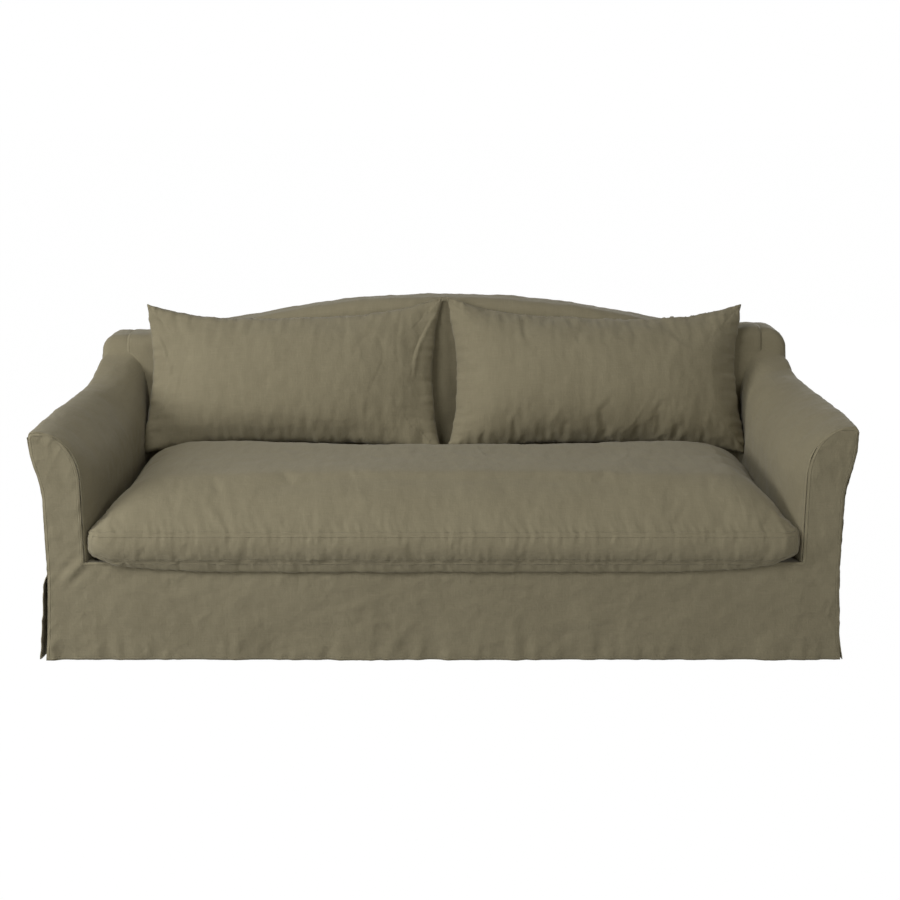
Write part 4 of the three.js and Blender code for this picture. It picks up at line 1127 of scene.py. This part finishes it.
def add_pillow(side, name, seed):
    front = cloth_grid(f"{name}_pillow_front", PILLOW_COLUMNS, PILLOW_ROWS, pillow_place(side, -0.116, 0.0))
    turned = pillow_place(side, 0.056, 0.0)
    rear = cloth_grid(f"{name}_pillow_rear", PILLOW_COLUMNS, PILLOW_ROWS, lambda u, v: turned(1 - u, v))
    pillow = sew(f"{name}_pillow_cover", [front, rear])
    inflate(pillow, pressure=3.2, slack=0.012, travel=0.014, frames=20, seam_hold=1.0)
    refine(pillow)
    pucker(pillow, seed, 0.0054, 0.08, 0.020, 1.25)
    write_points(pillow.data, clear_of_sofa(read_points(pillow.data)))
    pillow.data.materials.clear()
    pillow.data.materials.append(linen)
    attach(pillow, f"{name}_pillow")
    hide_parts(f"{name}_back_pillow")
    print(pillow.name, len(pillow.data.polygons), "faces")
    return pillow


pillows = [add_pillow(1, "right", 140), add_pillow(-1, "left", 183)]

# %% [markdown]
# ## Finishes of the frame
# The wood, boards, foam, springs and webbing are hidden by the cover, but they show when the
# cushions are lifted or the sofa is tipped, so each has the look of the real stuff.

# %% Wood and boards
def wood_finish(name, light, dark, rings):
    finish = Finish(name, roughness=0.6)
    place = finish.take("ShaderNodeTexCoord", output="Object")
    grain = finish.noise(finish.stretched(place, 6, 6, rings), 1.0, 5.0, 0.6)
    pores = finish.noise(finish.stretched(place, 40, 40, 260), 1.0, 2.0)
    finish.feed(finish.shader.inputs["Base Color"], finish.blend(grain * 1.2 - 0.1, dark, light))
    finish.feed(finish.shader.inputs["Roughness"], pores * 0.25 + 0.45)
    finish.bump(grain * 0.4 + pores * 0.6, 0.0006)
    return finish.material


def fibre_finish(name, light, dark, size, bump, metallic=0.0, roughness=0.9):
    """Foam, webbing, dust cloth or steel: a fine speckle of two colours."""
    finish = Finish(name, roughness=roughness, metallic=metallic)
    place = finish.take("ShaderNodeTexCoord", output="Object")
    speck = finish.noise(place, 1 / size, 3.0, 0.6)
    cloud = finish.noise(place, 6.0, 2.0)
    finish.feed(finish.shader.inputs["Base Color"], finish.blend(speck * 0.7 + cloud * 0.3, dark, light))
    finish.bump(speck, bump)
    return finish.material


beech = wood_finish("beech", colour(214, 178, 132), colour(176, 134, 90), 60)
plywood = wood_finish("plywood", colour(200, 164, 116), colour(158, 120, 78), 14)
foam = fibre_finish("foam", colour(238, 232, 208), colour(216, 206, 174), 0.004, 0.0008)
steel = fibre_finish("spring_steel", colour(150, 152, 156), colour(110, 112, 118), 0.002, 0.0001, 1.0, 0.35)
webbing = fibre_finish("webbing", colour(74, 72, 68), colour(44, 42, 40), 0.0015, 0.0004)
dust_cloth = fibre_finish("dust_cloth", colour(52, 52, 56), colour(28, 28, 32), 0.002, 0.0003)
finishes = {
    "wood": beech, "plywood": plywood, "foam": foam, "steel": steel,
    "webbing": webbing, "dust_cloth": dust_cloth, "linen": linen, "lining_linen": shaded_linen,
}
slots = {part["node"]: part["material_slot"] for part in frame["record"]["subparts"]}
for name, node in frame["nodes"].items():
    node.data.materials.clear()
    node.data.materials.append(finishes[slots[name]])
for pad, name in zip(pads, ("right_arm_pad", "left_arm_pad", "back_pad")):
    pad.data.materials.clear()
    pad.data.materials.append(finishes[slots[name]])
print("nodes with a finish:", len(slots))

# %% [markdown]
# ## Floor and light
# A studio picture: a big soft lamp from low on the left, two weaker ones from the front, a little
# light from all round, and a white ground that runs out into a white backdrop.

# %% Studio
def white_ground():
    """White in the picture, apart from a soft shadow."""
    finish = Finish("ground", roughness=1.0)
    finish.shader.inputs["Base Color"].default_value = (0.42, 0.42, 0.42, 1)
    path = finish.add("ShaderNodeLightPath")
    seen = Signal(finish, path.outputs["Is Camera Ray"])
    glossy = Signal(finish, path.outputs["Is Glossy Ray"])
    through = Signal(finish, path.outputs["Is Transmission Ray"])
    glow = finish.add("ShaderNodeEmission")
    glow.inputs["Strength"].default_value = 1.012
    both = finish.add("ShaderNodeMixShader")
    finish.feed(both.inputs[0], (seen + glossy + through) * 0.985)
    finish.tree.links.new(finish.shader.outputs[0], both.inputs[1])
    finish.tree.links.new(glow.outputs[0], both.inputs[2])
    output = next(n for n in finish.tree.nodes if n.type == "OUTPUT_MATERIAL")
    finish.tree.links.new(both.outputs[0], output.inputs["Surface"])
    return finish.material


bpy.ops.mesh.primitive_plane_add(size=60, location=(0, 0, 0))
ground = bpy.context.object
ground.name = "ground"
ground.data.materials.append(white_ground())

world = bpy.data.worlds.new("studio")
bpy.context.scene.world = world
world.use_nodes = True
sky = world.node_tree
lit = next(n for n in sky.nodes if n.type == "BACKGROUND")
output = next(n for n in sky.nodes if n.type == "OUTPUT_WORLD")
path = sky.nodes.new("ShaderNodeLightPath")
white = sky.nodes.new("ShaderNodeMath")
white.operation = "ADD"
sky.links.new(path.outputs["Is Camera Ray"], white.inputs[0])
sky.links.new(path.outputs["Is Glossy Ray"], white.inputs[1])
backdrop = sky.nodes.new("ShaderNodeBackground")
backdrop.inputs["Color"].default_value = (1, 1, 1, 1)
AMBIENT = 0.08
lit.inputs["Color"].default_value = (1.0, 0.92, 0.66, 1)
lit.inputs["Strength"].default_value = AMBIENT
either = sky.nodes.new("ShaderNodeMixShader")
sky.links.new(white.outputs[0], either.inputs[0])
sky.links.new(lit.outputs[0], either.inputs[1])
sky.links.new(backdrop.outputs[0], either.inputs[2])
sky.links.new(either.outputs[0], output.inputs["Surface"])


def add_lamp(name, place, target, size, power, shape="RECTANGLE"):
    bpy.ops.object.light_add(type="AREA", location=place)
    lamp = bpy.context.object
    lamp.name = name
    lamp.data.shape = shape
    lamp.data.size, lamp.data.size_y = size
    lamp.data.energy = power
    lamp.rotation_euler = (Vector(target) - Vector(place)).to_track_quat("-Z", "Y").to_euler()
    return lamp


add_lamp("window_lamp", (-4.3, -2.2, 1.95), (-0.2, 0.2, 0.5), (1.6, 1.6), 118)
add_lamp("high_lamp", (-1.8, -2.7, 4.0), (0.1, 0, 0.4), (1.8, 1.4), 76)
add_lamp("fill_lamp", (2.7, -4.0, 1.9), (0, 0, 0.5), (1.8, 1.6), 34)
add_lamp("rear_lamp", (3.2, 4.4, 1.3), (0.2, 0.4, 0.4), (2.4, 1.6), 60)
